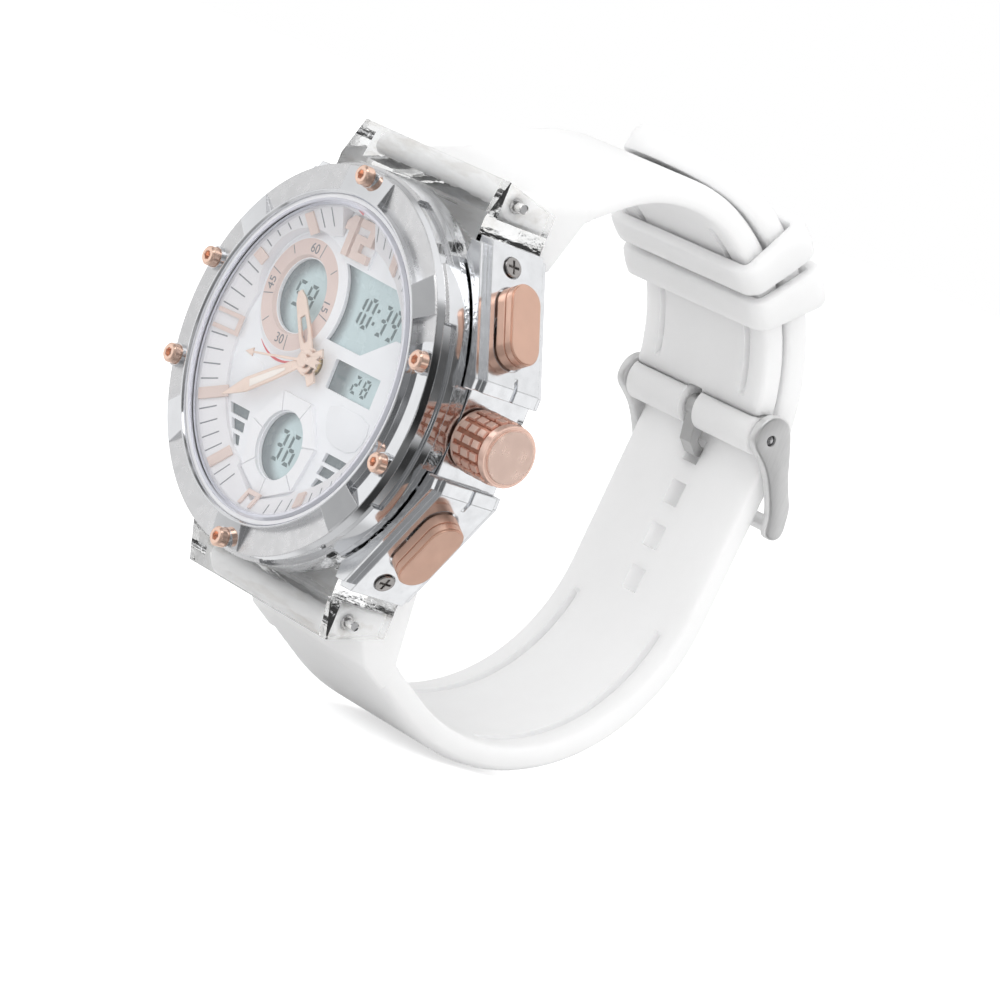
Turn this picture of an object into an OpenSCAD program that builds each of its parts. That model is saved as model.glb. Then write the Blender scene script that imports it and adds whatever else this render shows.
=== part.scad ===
// Sports watch with analogue hands and digital windows, closed as on a wrist.
// The dial faces -Y, 12 o'clock is +Z and the crown is +X. The origin is the middle of the case back.
// Case pieces are drawn lying on their back, dial up, and stood up by stand().

/* [Case] */
// Radius of the case back
back_r = 18.9; // [18.6:0.1:19.1]
// Thickness of the case back
back_t = 1.4; // [1.3:0.1:1.6]
// Outer radius of the middle case
mid_r = 19.4; // [19.2:0.1:19.6]
// Height of the middle case
mid_h = 10; // [9.8:0.1:10.4]
// Radius of the chamber in the middle case
chamber_r = 16.8; // [16.7:0.1:16.9]
// Thickness of the flange under the bezel
flange_t = 1.8; // [1.7:0.1:2.0]
// Outer radius of the clear outer case
ring_r = 21.5; // [21.4:0.1:21.7]
// Width of the outer case across its lugs
lug_w = 26; // [25.6:0.1:27]
// Distance from the watch's middle to the lug tips
lug_reach = 25.1; // [24.9:0.1:25.6]
// Distance from the watch's middle to the strap pins
pin_reach = 23; // [22.8:0.1:23.2]
// Height of the strap pins above the case back
pin_h = 5.1; // [4.9:0.1:5.3]

/* [Bezel and crystal] */
// Outer radius of the bezel at its foot
bezel_r = 21.3; // [21:0.1:21.4]
// Amount by which the bezel's side leans in
bezel_lean = 0.45; // [0.3:0.05:0.6]
// Height of the bezel
bezel_h = 4; // [3.9:0.1:4.3]
// How far the bezel's top falls from the crystal to its outer edge
bezel_fall = 0.55; // [0.4:0.05:0.7]
// Depth of the channels milled into the bezel's top
channel_d = 0.8; // [0.6:0.05:0.9]
// Distance from the bezel's upper edge in to its screws
bezel_screw_in = 0.85; // [0.75:0.05:0.95]
// Angle of the side screws above and below the crown
side_screw_a = 16; // [14:1:20]
// Radius of a bezel screw's head
bezel_head_r = 1.05; // [0.9:0.05:1.15]
// Radius of the crystal
crystal_r = 17.1; // [17:0.05:17.2]
// Thickness of the crystal
crystal_t = 1.7; // [1.5:0.1:1.8]

/* [Dial] */
// Thickness of the dial
dial_t = 0.4; // [0.3:0.05:0.45]
// Inner radius of the sloping chapter ring
chapter_r = 13.6; // [13.5:0.1:14]
// Middle of the seconds sub-dial
sub_at = [-6.2, 5.8];
// Outer radius of the seconds sub-dial's ring
sub_r = 6.1; // [5.9:0.1:6.2]
// Radius of the seconds sub-dial's window
sub_window_r = 4; // [3.8:0.1:4.1]
// Distance of the weekday sub-dial below the middle
week_drop = 9.1; // [9:0.1:9.2]
// Radius of the weekday sub-dial's window
week_window_r = 3.65; // [3.5:0.05:3.7]
// Outer radius of the weekday ring's corners
week_r = 5.9; // [5.7:0.1:6]

/* [Hands] */
// Length of the hour hand
hour_len = 8.4; // [8:0.1:8.8]
// Length of the minute hand
minute_len = 12.9; // [12.4:0.1:13.1]
// Length of the second hand
second_len = 9.6; // [9:0.1:10]
// Clock angle at which the hour hand points
hour_at = 318; // [0:1:359]
// Clock angle at which the minute hand points
minute_at = 237; // [0:1:359]
// Clock angle at which the second hand points
second_at = 259; // [0:1:359]

/* [Crown and pushers] */
// Height of the crown and the pushers above the case back
side_h = 6.7; // [6.6:0.1:6.8]
// Radius of the crown over its studs
crown_r = 3.4; // [3.2:0.1:3.5]
// Length of the crown
crown_len = 5.9; // [5.6:0.1:6.4]
// Number of studs round the crown
crown_studs = 16; // [12:1:20]
// Distance that the crown pulls out
crown_pull = 1; // [0.8:0.1:1.1]
// Clock angle of the upper right pusher
pusher_a = 60; // [59:1:61]
// Length of a pusher's cap
cap_len = 8.6; // [8:0.1:8.8]
// Width of a pusher's cap
cap_w = 4; // [3.7:0.1:4.2]
// Thickness of a pusher's cap
cap_t = 2.2; // [2:0.1:2.6]
// Travel of a pusher
pusher_travel = 0.6; // [0.4:0.05:0.6]
// Radius of a pusher's stem
pusher_stem_r = 0.8; // [0.7:0.05:0.85]
// Distance from the watch's middle to the guards' slanted faces
guard_face = 23; // [22.9:0.1:23.3]
// Distance from the watch's middle to the guards' ends
guard_end = 19.2; // [19:0.1:19.6]

/* [Strap] */
// Width of the strap
strap_w = 21.6; // [21.2:0.1:21.8]
// Thickness of the strap
strap_t = 3; // [2.8:0.1:3.1]
// Radius of the strap's inner face behind the wrist
back_bend = 22; // [21.8:0.1:22.4]
// Radius of the strap's inner face under the wrist
under_bend = 20.7; // [20.4:0.1:21]
// Radius of the strap's inner face over the wrist
over_bend = 16; // [15.6:0.1:16.4]
// Distance between the strap's holes
hole_pitch = 5.2; // [5:0.1:5.3]
// Length of a hole along the strap
hole_len = 2.8; // [2.7:0.05:3]
// Width of a hole across the strap
hole_w = 2.4; // [2.3:0.05:2.8]
// Length of a keeper along the strap
keeper_len = 4.6; // [4:0.1:4.8]
// Thickness of a keeper
keeper_t = 1.6; // [1.4:0.1:1.8]

/* [Buckle] */
// Thickness of the buckle's side plates
plate_t = 1.2; // [1:0.1:1.4]
// Radius of the buckle's outer bar
bar_r = 0.9; // [0.8:0.05:1]
// Thickness of the tongue
tongue_t = 1; // [0.9:0.05:1.1]
// Width of the tongue
tongue_w = 1.9; // [1.7:0.1:2]

/* [Clearances] */
// Radial clearance of pieces that turn or slide
run_gap = 0.05; // [0.03:0.01:0.07]
// Clearance of pieces that are fitted and stay still
fit_gap = 0.05; // [0.03:0.01:0.08]
// Clearance between the strap, its keepers and the lugs
soft_gap = 0.3; // [0.25:0.05:0.35]

/* [Hidden] */
$fn = 96;
eps = 0.01;
mid_base = back_t;
mid_top = mid_base + mid_h;
flange_z = mid_top - flange_t;
bezel_top = mid_top + bezel_h;
bezel_top_r = bezel_r - bezel_lean;
bezel_edge_z = bezel_top - bezel_fall;
bezel_screw_ring = bezel_top_r - bezel_screw_in;
crystal_top = bezel_top - 0.1;
crystal_z = crystal_top - crystal_t;
seat_r = crystal_r + 0.5;
rim_r = seat_r + 0.4;
rehaut_r = chamber_r + 0.1;
dial_r = chamber_r - 0.1;
dial_z = mid_top - 0.2;
dial_top = dial_z + dial_t;
lcd_t = 0.65;
lcd_z = dial_z - fit_gap - lcd_t;
light_t = 0.6;
light_z = lcd_z - fit_gap - light_t;
chapter_out = rehaut_r - fit_gap;
chapter_top = dial_top + 1.7;
chapter_low = dial_top + 0.4;
chapter_flat = 0.5;
marker_out = chapter_out - chapter_flat - 0.05;
marker_t = 0.22;
plinth_t = 0.25;
slope_a = atan((chapter_top - chapter_low) / (chapter_out - chapter_flat - chapter_r));

lip_r = 15.2;
lip_t = 1;
spigot_r = 14.6;
spigot_t = 1;
spigot_h = 0.8;
back_screw_ring = (chamber_r + back_r) / 2 - 0.25;
back_head_r = 0.9;
back_shank_r = 0.5;
bezel_shank_r = 0.6;
bezel_head_h = 1.1;
bezel_head_sink = 0.3;
bezel_screw_angles = [0, 90 - side_screw_a, 90 + side_screw_a, 180, 270 - side_screw_a, 270 + side_screw_a];
channel_spans = [[11, 48], [60, 120], [133, 173], [187, 227], [240, 300], [312, 349]];

ring_z = 0.9;
ring_top = flange_z - fit_gap;
ring_in = mid_r + fit_gap;
knuckle_r = 1.7;
slot_w = strap_w + 2 * soft_gap;
flat_x = 20.35;
web_x = flat_x + 0.95;
guard_z = 1.6;
guard_in = lug_w / 2 + 0.6;
guard_top = 10.5;
guard_step = 0.8;
guard_screw_off = 6.6;
crown_gap = 1.4;

right_pushers = [pusher_a, 180 - pusher_a];
left_pushers = [180 + pusher_a, 360 - pusher_a];
cap_gap = 0.2;
cap_in = guard_face + cap_gap;
pocket_floor = cap_in - pusher_travel - 0.1;
stem_in = chamber_r - 0.7;
stem_flange_t = 0.4;
stem_flange_r = pusher_stem_r + 0.4;
seal_at = 18.5;
seal_wire = 0.26;
spring_hole_r = 1.7;
spring_floor = 20.2;
spring_wire = 0.18;
spring_r = 1.3;
spring_turns = 3.5;

crown_in = web_x + 0.3;
crown_out = crown_in + crown_len;
tube_r = 1.3;
stem_r = 0.7;
square_r = 0.56;
pinion_x = 14.6;
pinion_t = 1.1;
pinion_r = 1.3;

holder_r = chamber_r - 0.2;
holder_in = 14.2;
strip_at = holder_in - 3;
board_z = 4.3;
board_t = 0.8;
board_r = holder_in - 0.3;
ledge_r = 12.9;
cell_r = 10;
cell_t = 1.6;
cell_z = board_z - 0.15 - cell_t;
quartz_r = 7.5;
quartz_z = board_z + board_t;
quartz_top = 9.2;
wheel_z = quartz_top + 0.1;
second_r = 0.35;
cannon_r = 0.7;
hour_pipe_r = 1.1;
hour_z = dial_top + 0.75;
minute_z = hour_z + 0.5;
second_z = minute_z + 0.4;
hour_t = 0.25;
minute_t = 0.2;
second_t = 0.15;

pin_y = -pin_h;
bend_at = [16, 7.4];
under_at = [19.3, -10.8];
outer_in = back_bend + strap_t + soft_gap;
over_a = 70;
over_at = bend_at + (back_bend - over_bend) * [cos(over_a), sin(over_a)];
over_end = 123;
under_a = -119;
bend_gap = norm(bend_at - under_at);
join_a = atan2(bend_at[1] - under_at[1], bend_at[0] - under_at[0]) - acos((under_bend - outer_in) / bend_gap);
join_dir = [-sin(join_a), cos(join_a)];
join_from = under_at + under_bend * [cos(join_a), sin(join_a)];
join_to = bend_at + outer_in * [cos(join_a), sin(join_a)];
join_len = norm(join_to - join_from);
lap = 0.6;
lap_in = 0.03;
lap_a = 1;
tail_a = 84;
buckle_a = 4;
buckle_at = bend_at + (back_bend + strap_t / 2 + 0.1) * [cos(buckle_a), sin(buckle_a)];
buckle_pin_r = 0.8;
used_hole = -1.2;
head_reach = 17.6;
head_back = 0.35;
groove_x = 7.5;
groove_w = 0.9;
groove_d = 1.1;
fixed_keeper_a = 41;
loose_keeper_a = 53;
spring_bar_r = 0.75;
tip_r = 0.45;
tip_in = 8.9;
tip_out = lug_w / 2 - 0.1;
tube_end = strap_w / 2 + 0.1;
plate_in = strap_w / 2 + 0.5;
tongue_ring_r = 1.35;
hole_z = join_to[1] + used_hole * join_dir[1];
strap_out_y = join_to[0] + strap_t + used_hole * join_dir[0];
bar_at = [strap_out_y + soft_gap + bar_r - 0.05, hole_z - 4.6];

// Stands the lying case up: its height turns to -Y and 12 o'clock to +Z.
module stand() {
    rotate([90, 0, 0]) children();
}

// Turns +Y to a clock angle in the lying case.
module at_clock(a) {
    rotate([0, 0, -a]) children();
}

// Lays a cylinder along +Y from y0 to y1 at the crown's height.
module side_rod(r, y0, y1) {
    translate([0, y0, side_h]) rotate([-90, 0, 0]) cylinder(r = r, h = y1 - y0);
}

// A rod with four flats along +Y from y0 to y1 at the crown's height.
module side_square(r, y0, y1) {
    translate([0, y0, side_h]) rotate([-90, 0, 0]) cylinder(r = r, h = y1 - y0, $fn = 4);
}

// A ring about Z, with a round section.
module o_ring(r, wire) {
    rotate_extrude() translate([r, 0]) circle(r = wire, $fn = 32);
}

// A long-holed block along +Y: its long side lies along X.
module stadium(len, wid, y0, y1) {
    half = (len - wid) / 2;
    for (s = [-1, 1]) translate([s * half, y0, side_h]) rotate([-90, 0, 0]) cylinder(d = wid, h = y1 - y0);
    translate([-half, y0, side_h - wid / 2]) cube([2 * half, y1 - y0, wid]);
}

// A sector of a ring about Z between two clock angles.
module ring_sector(r0, r1, z0, z1, a0, a1) {
    rotate([0, 0, 90 - a1]) rotate_extrude(angle = a1 - a0)
        translate([r0, z0]) square([r1 - r0, z1 - z0]);
}

// Puts a copy at each bezel screw.
module at_bezel_screws() {
    for (a = bezel_screw_angles) at_clock(a) translate([0, bezel_screw_ring, 0]) children();
}

// Puts a copy at each case-back screw.
module at_back_screws() {
    for (a = [45:90:315]) at_clock(a) translate([0, back_screw_ring, 0]) children();
}

// The guard's screw axes, drawn along +Y at the crown's height.
module at_guard_screws(side) {
    for (s = [-1, 1]) at_clock(side * (90 - s * (90 - pusher_a)))
        translate([-side * s * guard_screw_off, 0, 0]) children();
}

// Outline of a lug seen from the side: distance from the middle, height.
function lug_outline() = [
    [18, ring_z], [lug_reach - 1.7, ring_z], [lug_reach, ring_top - 1.45],
    [lug_reach - 4.2, ring_top], [18, ring_top]
];

module outer_case() {
    color([0.92, 0.94, 0.95, 0.35]) stand() difference() {
        union() {
            translate([0, 0, ring_z]) cylinder(r = ring_r, h = ring_top - ring_z);
            for (s = [-1, 1]) translate([-lug_w / 2, 0, 0]) rotate([90, 0, 90])
                linear_extrude(lug_w) polygon([for (p = lug_outline()) [s * p[0], p[1]]]);
        }
        translate([0, 0, -1]) cylinder(r = ring_in, h = 20);
        for (s = [-1, 1]) {
            translate([-slot_w / 2, s > 0 ? pin_reach - knuckle_r - soft_gap : -40, -1])
                cube([slot_w, 40 - pin_reach + knuckle_r + soft_gap, pin_h + knuckle_r + soft_gap + 1]);
            translate([-lug_w, s * pin_reach, pin_h]) rotate([0, 90, 0])
                cylinder(r = tip_r + run_gap, h = 2 * lug_w);
            translate([s > 0 ? flat_x : -flat_x - 5, -10, -1]) cube([5, 20, 20]);
        }
        for (a = concat(right_pushers, left_pushers)) at_clock(a) {
            side_rod(pusher_stem_r + 0.2, 18, spring_floor + eps);
            side_rod(spring_hole_r, spring_floor, 25);
        }
        at_clock(90) side_rod(tube_r + fit_gap, 18, 24);
        for (side = [-1, 1]) at_guard_screws(side) side_rod(bezel_shank_r + 0.03, guard_face - 3.7, 25);
    }
}

module middle_case() {
    color([0.8, 0.8, 0.82]) stand() difference() {
        rotate_extrude() polygon([
            [lip_r, mid_base], [mid_r, mid_base], [mid_r, flange_z], [bezel_r, flange_z],
            [bezel_r, mid_top], [chamber_r, mid_top], [chamber_r, mid_base + lip_t], [lip_r, mid_base + lip_t]
        ]);
        at_bezel_screws() translate([0, 0, flange_z + 0.2]) cylinder(r = bezel_shank_r + 0.03, h = 5);
        at_back_screws() translate([0, 0, 0]) cylinder(r = back_shank_r + 0.03, h = 4);
        for (a = concat(right_pushers, left_pushers)) at_clock(a) {
            side_rod(pusher_stem_r + run_gap, 14, 25);
            side_rod(pusher_stem_r + 2 * seal_wire + 0.06, seal_at - seal_wire - 0.02, seal_at + seal_wire + 0.02);
        }
        at_clock(90) side_rod(tube_r + fit_gap, 14, 25);
    }
}

// The milled channels: a wall beside the crystal's rim, and a floor that runs out to the bezel's edge.
module bezel_channels() {
    floor_z = bezel_edge_z - 0.1;
    rise = (floor_z - bezel_top + channel_d) / (bezel_top_r - rim_r);
    for (s = channel_spans) rotate([0, 0, 90 - s[1]]) rotate_extrude(angle = s[1] - s[0]) polygon([
        [rim_r, bezel_top + 1], [rim_r, bezel_top - channel_d],
        [bezel_r + 1, floor_z + rise * (bezel_r + 1 - bezel_top_r)], [bezel_r + 1, bezel_top + 1]
    ]);
}

module bezel() {
    step_z = bezel_top - 1.9;
    color([0.78, 0.79, 0.81]) stand() difference() {
        union() {
            difference() {
                rotate_extrude() polygon([
                    [rehaut_r, mid_top], [bezel_r, mid_top], [bezel_r, step_z], [bezel_top_r + 0.15, step_z + 0.2],
                    [bezel_top_r, bezel_edge_z - 0.15], [bezel_top_r - 0.15, bezel_edge_z], [rim_r - 0.1, bezel_top],
                    [seat_r + 0.2, bezel_top], [seat_r, bezel_top - 0.2], [seat_r, crystal_z], [rehaut_r, crystal_z]
                ]);
                bezel_channels();
                for (s = [[20, 44], [62, 118], [138, 166], [194, 222], [242, 298], [316, 340]])
                    ring_sector(bezel_r - 0.4, bezel_r + 1, step_z - 1.1, step_z + 0.3, s[0], s[1]);
            }
            intersection() {
                at_bezel_screws() translate([0, 0, mid_top]) cylinder(r = bezel_head_r + 0.2, h = bezel_h - 0.2);
                cylinder(r = bezel_top_r - 0.1, h = bezel_top + 1);
            }
        }
        at_bezel_screws() {
            translate([0, 0, mid_top - 1]) cylinder(r = bezel_shank_r + 0.03, h = bezel_h + 2);
            translate([0, 0, bezel_top - bezel_head_sink]) cylinder(r = bezel_head_r + fit_gap, h = 2);
        }
        translate([0, 0, mid_top - 1]) cylinder(r = rehaut_r, h = bezel_h);
    }
}

// A cap screw: round head with a six-sided socket, standing on z = 0.
module cap_screw(head_r, head_h, shank_r, shank_len, socket_r) {
    difference() {
        union() {
            cylinder(r = head_r, h = head_h - 0.2);
            translate([0, 0, head_h - 0.2]) cylinder(r1 = head_r, r2 = head_r - 0.2, h = 0.2);
            translate([0, 0, -shank_len]) cylinder(r = shank_r, h = shank_len + eps);
        }
        translate([0, 0, head_h - 0.6]) cylinder(r = socket_r, h = 1, $fn = 6);
    }
}

// A cross-headed screw, standing on z = 0.
module cross_screw(head_r, head_h, shank_r, shank_len) {
    difference() {
        union() {
            cylinder(r = head_r, h = head_h);
            translate([0, 0, -shank_len]) cylinder(r = shank_r, h = shank_len + eps);
        }
        for (a = [0, 90]) rotate([0, 0, a]) translate([-head_r * 0.7, -0.13, head_h - 0.3]) cube([head_r * 1.4, 0.26, 1]);
    }
}

module bezel_screws() {
    color([0.86, 0.6, 0.5]) stand() at_bezel_screws() translate([0, 0, bezel_top - bezel_head_sink])
        cap_screw(bezel_head_r, bezel_head_h, bezel_shank_r, bezel_h + 1, 0.52);
}

module crystal() {
    color([0.85, 0.92, 0.95, 0.25]) stand() translate([0, 0, crystal_z]) {
        cylinder(r = crystal_r, h = crystal_t - 0.25);
        translate([0, 0, crystal_t - 0.25]) cylinder(r1 = crystal_r, r2 = crystal_r - 0.25, h = 0.25);
    }
}

module crystal_gasket() {
    color([0.9, 0.9, 0.9]) stand() translate([0, 0, crystal_z]) difference() {
        cylinder(r = seat_r - 0.02, h = crystal_t - 0.35);
        translate([0, 0, -1]) cylinder(r = crystal_r + 0.02, h = 5);
    }
}

// The seven-sided outline of the weekday ring, with a flat side to 12 o'clock.
module week_outline(r) {
    translate([0, -week_drop]) polygon([for (i = [0:6]) r * [sin((i + 0.5) * 360 / 7), cos((i + 0.5) * 360 / 7)]]);
}

// The place of the raised figures at 12 o'clock, grown by a margin.
module twelve_place(more) {
    translate([-3.1 - more, 11.1 - more]) square([5.6 + 2 * more, 4.9 + 2 * more]);
}

module chapter_ring() {
    color([0.93, 0.94, 0.95]) stand() difference() {
        rotate_extrude() polygon([
            [chapter_r, dial_top], [chapter_out, dial_top], [chapter_out, chapter_top],
            [chapter_out - chapter_flat, chapter_top], [chapter_r, chapter_low]
        ]);
        translate([sub_at[0], sub_at[1], dial_top - 1]) cylinder(r = sub_r + 0.9, h = 5);
        translate([0, 0, dial_top - 1]) linear_extrude(5) week_outline(week_r + 0.5);
        translate([0, 0, dial_top - 1]) linear_extrude(5) twelve_place(0.1);
    }
}

// The upper right window follows the sub-dial on its left and the chapter ring on its right.
module main_window() {
    difference() {
        intersection() {
            circle(r = chapter_r - 0.4);
            polygon([[-2.6, 10.9], [14, 10.4], [14, 5.9], [10.9, 5.9], [6.3, 2.9], [-2, 2.9]]);
        }
        translate(sub_at) circle(r = sub_r + 0.9);
    }
}

// Three slanted slots on one side of the weekday ring.
module side_slots(s) {
    for (i = [0:2]) polygon([
        [s * (10.9 - i * 1.2), -7.5 - i * 1.4], [s * 7.2, -7.5 - i * 1.4],
        [s * (7 - i * 0.1), -8.5 - i * 1.4], [s * (10.2 - i * 1.2), -8.5 - i * 1.4]
    ]);
}

module dial() {
    color([0.95, 0.96, 0.97]) stand() difference() {
        union() {
            translate([0, 0, dial_z]) cylinder(r = dial_r, h = dial_t);
            translate([0, 0, dial_top - 0.1]) linear_extrude(plinth_t + 0.1) difference() {
                twelve_place(0);
                translate(sub_at) circle(r = sub_r + 0.9);
            }
        }
        translate([0, 0, dial_z - 1]) linear_extrude(3) {
            translate(sub_at) circle(r = sub_window_r);
            translate([0, -week_drop]) circle(r = week_window_r);
            main_window();
            translate([3, -1.6]) square([8, 3.2]);
            circle(r = hour_pipe_r + 0.15);
            for (s = [-1, 1]) side_slots(s);
        }
    }
}

module seconds_ring() {
    color([0.88, 0.7, 0.64]) stand() translate([sub_at[0], sub_at[1], dial_top]) rotate_extrude() polygon([
        [sub_window_r + 0.1, 0], [sub_r + 0.7, 0], [sub_r, 0.45], [sub_window_r + 0.3, 0.45]
    ]);
}

module weekday_ring() {
    color([0.96, 0.97, 0.98]) stand() translate([0, 0, dial_top]) difference() {
        linear_extrude(0.45) week_outline(week_r);
        translate([0, -week_drop, -1]) cylinder(r = week_window_r + 0.1, h = 3);
        for (i = [0:6]) translate([0, -week_drop, 0.25]) rotate([0, 0, (i + 0.5) * 360 / 7])
            translate([-0.08, week_window_r, 0]) cube([0.16, 4, 1]);
    }
}

// A flat bar on the chapter ring's slope, from radius r0 to r1.
module slope_bar(a, r0, r1, wid, off) {
    at_clock(a) translate([0, chapter_r, chapter_low + 0.03]) rotate([slope_a, 0, 0])
        translate([off - wid / 2, r0 - chapter_r, 0]) cube([wid, (r1 - r0) / cos(slope_a), marker_t]);
}

module hour_markers() {
    inner = [[30, 0.3], [210, 0.2], [240, -0.4], [300, 1.4], [330, 0.6]];
    color([0.86, 0.64, 0.56]) stand() {
        for (m = inner) slope_bar(m[0], chapter_r + m[1], marker_out, 1.25, 0);
        slope_bar(150, chapter_r + 0.6, marker_out - 0.4, 1.2, 0);
        for (a = [180, 270]) union() {
            low = chapter_r + (a == 180 ? 1 : -0.2);
            for (s = [-1, 1]) slope_bar(a, low, marker_out, 0.45, s * 0.9);
            slope_bar(a, low, low + 0.45, 2, 0);
        }
        figure_twelve();
    }
}

// The two raised figures at 12 o'clock.
module figure_twelve() {
    translate([0, 0, dial_top + plinth_t]) linear_extrude(0.5) {
        polygon([[-2.9, 15], [-2.9, 14.1], [-2.1, 14.1], [-2.1, 11.5], [-1.1, 11.5], [-1.1, 15.8], [-2, 15.8]]);
        polygon([
            [-0.6, 15.8], [2.3, 15.8], [2.3, 13.3], [0.5, 13.3], [0.5, 12.4], [2.3, 12.4], [2.3, 11.5],
            [-0.6, 11.5], [-0.6, 14.1], [1.3, 14.1], [1.3, 14.9], [-0.6, 14.9]
        ]);
    }
}

module lcd_panel() {
    color([0.68, 0.74, 0.7]) stand() translate([0, 0, lcd_z]) difference() {
        cylinder(r = holder_in - 0.2, h = lcd_t);
        translate([0, 0, -1]) cylinder(r = 2.4, h = 3);
    }
}

module light_guide() {
    color([0.9, 0.95, 0.9]) stand() translate([0, 0, light_z]) difference() {
        cylinder(r = holder_in - 0.2, h = light_t);
        translate([0, 0, -1]) cylinder(r = 2.4, h = 3);
        for (s = [-1, 1]) translate([-5.2, s * strip_at - 0.8, -1]) cube([10.4, 1.6, 3]);
    }
}

module contact_strips() {
    color([0.85, 0.55, 0.6]) stand() for (s = [-1, 1])
        translate([-5, s * strip_at - 0.6, quartz_z]) cube([10, 1.2, lcd_z - quartz_z]);
}

module movement_holder() {
    color([0.9, 0.9, 0.88]) stand() difference() {
        rotate_extrude() polygon([
            [holder_in, mid_base + lip_t], [holder_r, mid_base + lip_t], [holder_r, dial_z], [holder_in, dial_z],
            [holder_in, light_z], [ledge_r, light_z], [ledge_r, light_z - 0.7], [holder_in, light_z - 0.7],
            [holder_in, board_z], [ledge_r, board_z], [ledge_r, board_z - 0.7], [holder_in, board_z - 0.7]
        ]);
        for (a = concat(right_pushers, left_pushers)) at_clock(a)
            translate([-1.6, 14.6, side_h - 1.6]) cube([3.2, 4, 3.2]);
        at_clock(90) {
            translate([-1.6, pinion_x - 0.1, side_h - 1.6]) cube([3.2, pinion_t + 0.2, 3.2]);
            side_rod(stem_r + run_gap, 14, 18);
        }
    }
}

module circuit_board() {
    color([0.1, 0.4, 0.22]) stand() translate([0, 0, board_z]) difference() {
        cylinder(r = board_r, h = board_t);
        for (a = [30, 150, 270]) at_clock(a) translate([0, 11.8, -1]) cylinder(r = 0.5, h = 3);
    }
}

module battery() {
    color([0.75, 0.75, 0.76]) stand() translate([0, 0, cell_z]) {
        cylinder(r = cell_r - 0.5, h = cell_t);
        translate([0, 0, 0.2]) cylinder(r = cell_r, h = cell_t - 0.2);
    }
}

module battery_clip() {
    color([0.82, 0.8, 0.7]) stand() {
        translate([-cell_r - 0.6, -2.5, cell_z - 0.2]) cube([2 * cell_r + 1.2, 5, 0.2]);
        for (s = [-1, 1]) translate([s > 0 ? cell_r + 0.3 : -cell_r - 0.6, -2.5, cell_z - 0.2])
            cube([0.3, 5, board_z - cell_z + 0.2]);
    }
}

module buzzer_disc() {
    color([0.85, 0.75, 0.45]) stand() translate([0, 0, back_t]) {
        cylinder(r = 9, h = 0.15);
        translate([0, 0, 0.15]) cylinder(r = 6.5, h = 0.12);
    }
}

module quartz_movement() {
    color([0.75, 0.72, 0.66]) stand() translate([0, 0, quartz_z]) difference() {
        union() {
            cylinder(r = quartz_r, h = quartz_top - quartz_z - 0.6);
            cylinder(r = quartz_r - 1.2, h = quartz_top - quartz_z);
        }
        translate([0, 0, 1.5]) cylinder(r = hour_pipe_r + run_gap, h = 9);
    }
}

// A small spur gear standing on z = 0.
module gear(r, t, teeth) {
    cylinder(r = r - 0.25, h = t);
    for (i = [0:teeth - 1]) rotate([0, 0, i * 360 / teeth]) translate([-r * 0.09, 0, 0]) cube([r * 0.18, r, t]);
}

module hour_wheel() {
    color([0.85, 0.7, 0.35]) stand() difference() {
        union() {
            translate([0, 0, quartz_top - 1.5]) cylinder(r = hour_pipe_r, h = hour_z - quartz_top + 1.5);
            translate([0, 0, wheel_z]) gear(2.1, 0.4, 24);
        }
        translate([0, 0, 0]) cylinder(r = cannon_r + run_gap, h = 20);
    }
}

module cannon_pinion() {
    color([0.8, 0.66, 0.35]) stand() difference() {
        translate([0, 0, quartz_top - 1.8]) cylinder(r = cannon_r, h = minute_z - quartz_top + 1.8);
        translate([0, 0, 0]) cylinder(r = second_r + run_gap, h = 20);
    }
}

module second_arbor() {
    color([0.75, 0.75, 0.78]) stand() translate([0, 0, quartz_top - 2.3])
        cylinder(r = second_r, h = second_z - quartz_top + 2.3);
}

module hour_hand() {
    color([0.87, 0.66, 0.56]) stand() at_clock(hour_at) translate([0, 0, hour_z]) difference() {
        union() {
            cylinder(r = 1.5, h = hour_t);
            linear_extrude(hour_t) polygon([
                [-0.55, -2.6], [0.55, -2.6], [0.7, 0], [0.95, 3.2], [0.75, hour_len - 1.1],
                [0.3, hour_len], [-0.3, hour_len], [-0.75, hour_len - 1.1], [-0.95, 3.2], [-0.7, 0]
            ]);
        }
        translate([0, 0, -1]) linear_extrude(3)
            polygon([[-0.25, 2.3], [0.25, 2.3], [0.5, 3.3], [0.38, 5.4], [-0.38, 5.4], [-0.5, 3.3]]);
        translate([0, 0, -1]) cylinder(r = cannon_r + run_gap, h = 3);
    }
}

module minute_hand() {
    color([0.87, 0.66, 0.56]) stand() at_clock(minute_at) translate([0, 0, minute_z]) difference() {
        union() {
            cylinder(r = 1.3, h = minute_t);
            linear_extrude(minute_t) polygon([
                [-0.5, -2.8], [0.5, -2.8], [0.45, 0], [0.7, 4.6], [0.78, minute_len - 3.6],
                [0.08, minute_len], [-0.08, minute_len], [-0.78, minute_len - 3.6], [-0.7, 4.6], [-0.45, 0]
            ]);
        }
        translate([0, 0, -1]) linear_extrude(3)
            polygon([[-0.16, 3], [0.16, 3], [0.36, 4.8], [0.42, 8.6], [-0.42, 8.6], [-0.36, 4.8]]);
        translate([0, 0, -1]) cylinder(r = second_r + run_gap, h = 3);
    }
}

module second_hand() {
    color([0.9, 0.68, 0.58]) stand() at_clock(second_at) translate([0, 0, second_z]) {
        cylinder(r = 0.75, h = second_t);
        linear_extrude(second_t) {
            polygon([[-0.16, 0], [0.16, 0], [0.1, second_len - 1], [-0.1, second_len - 1]]);
            polygon([[-0.45, second_len - 1.3], [0.45, second_len - 1.3], [0, second_len]]);
            polygon([[-0.2, 0], [-0.75, -2.7], [-0.25, -2.3], [0, -3.1], [0.25, -2.3], [0.75, -2.7], [0.2, 0]]);
        }
    }
}

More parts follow.
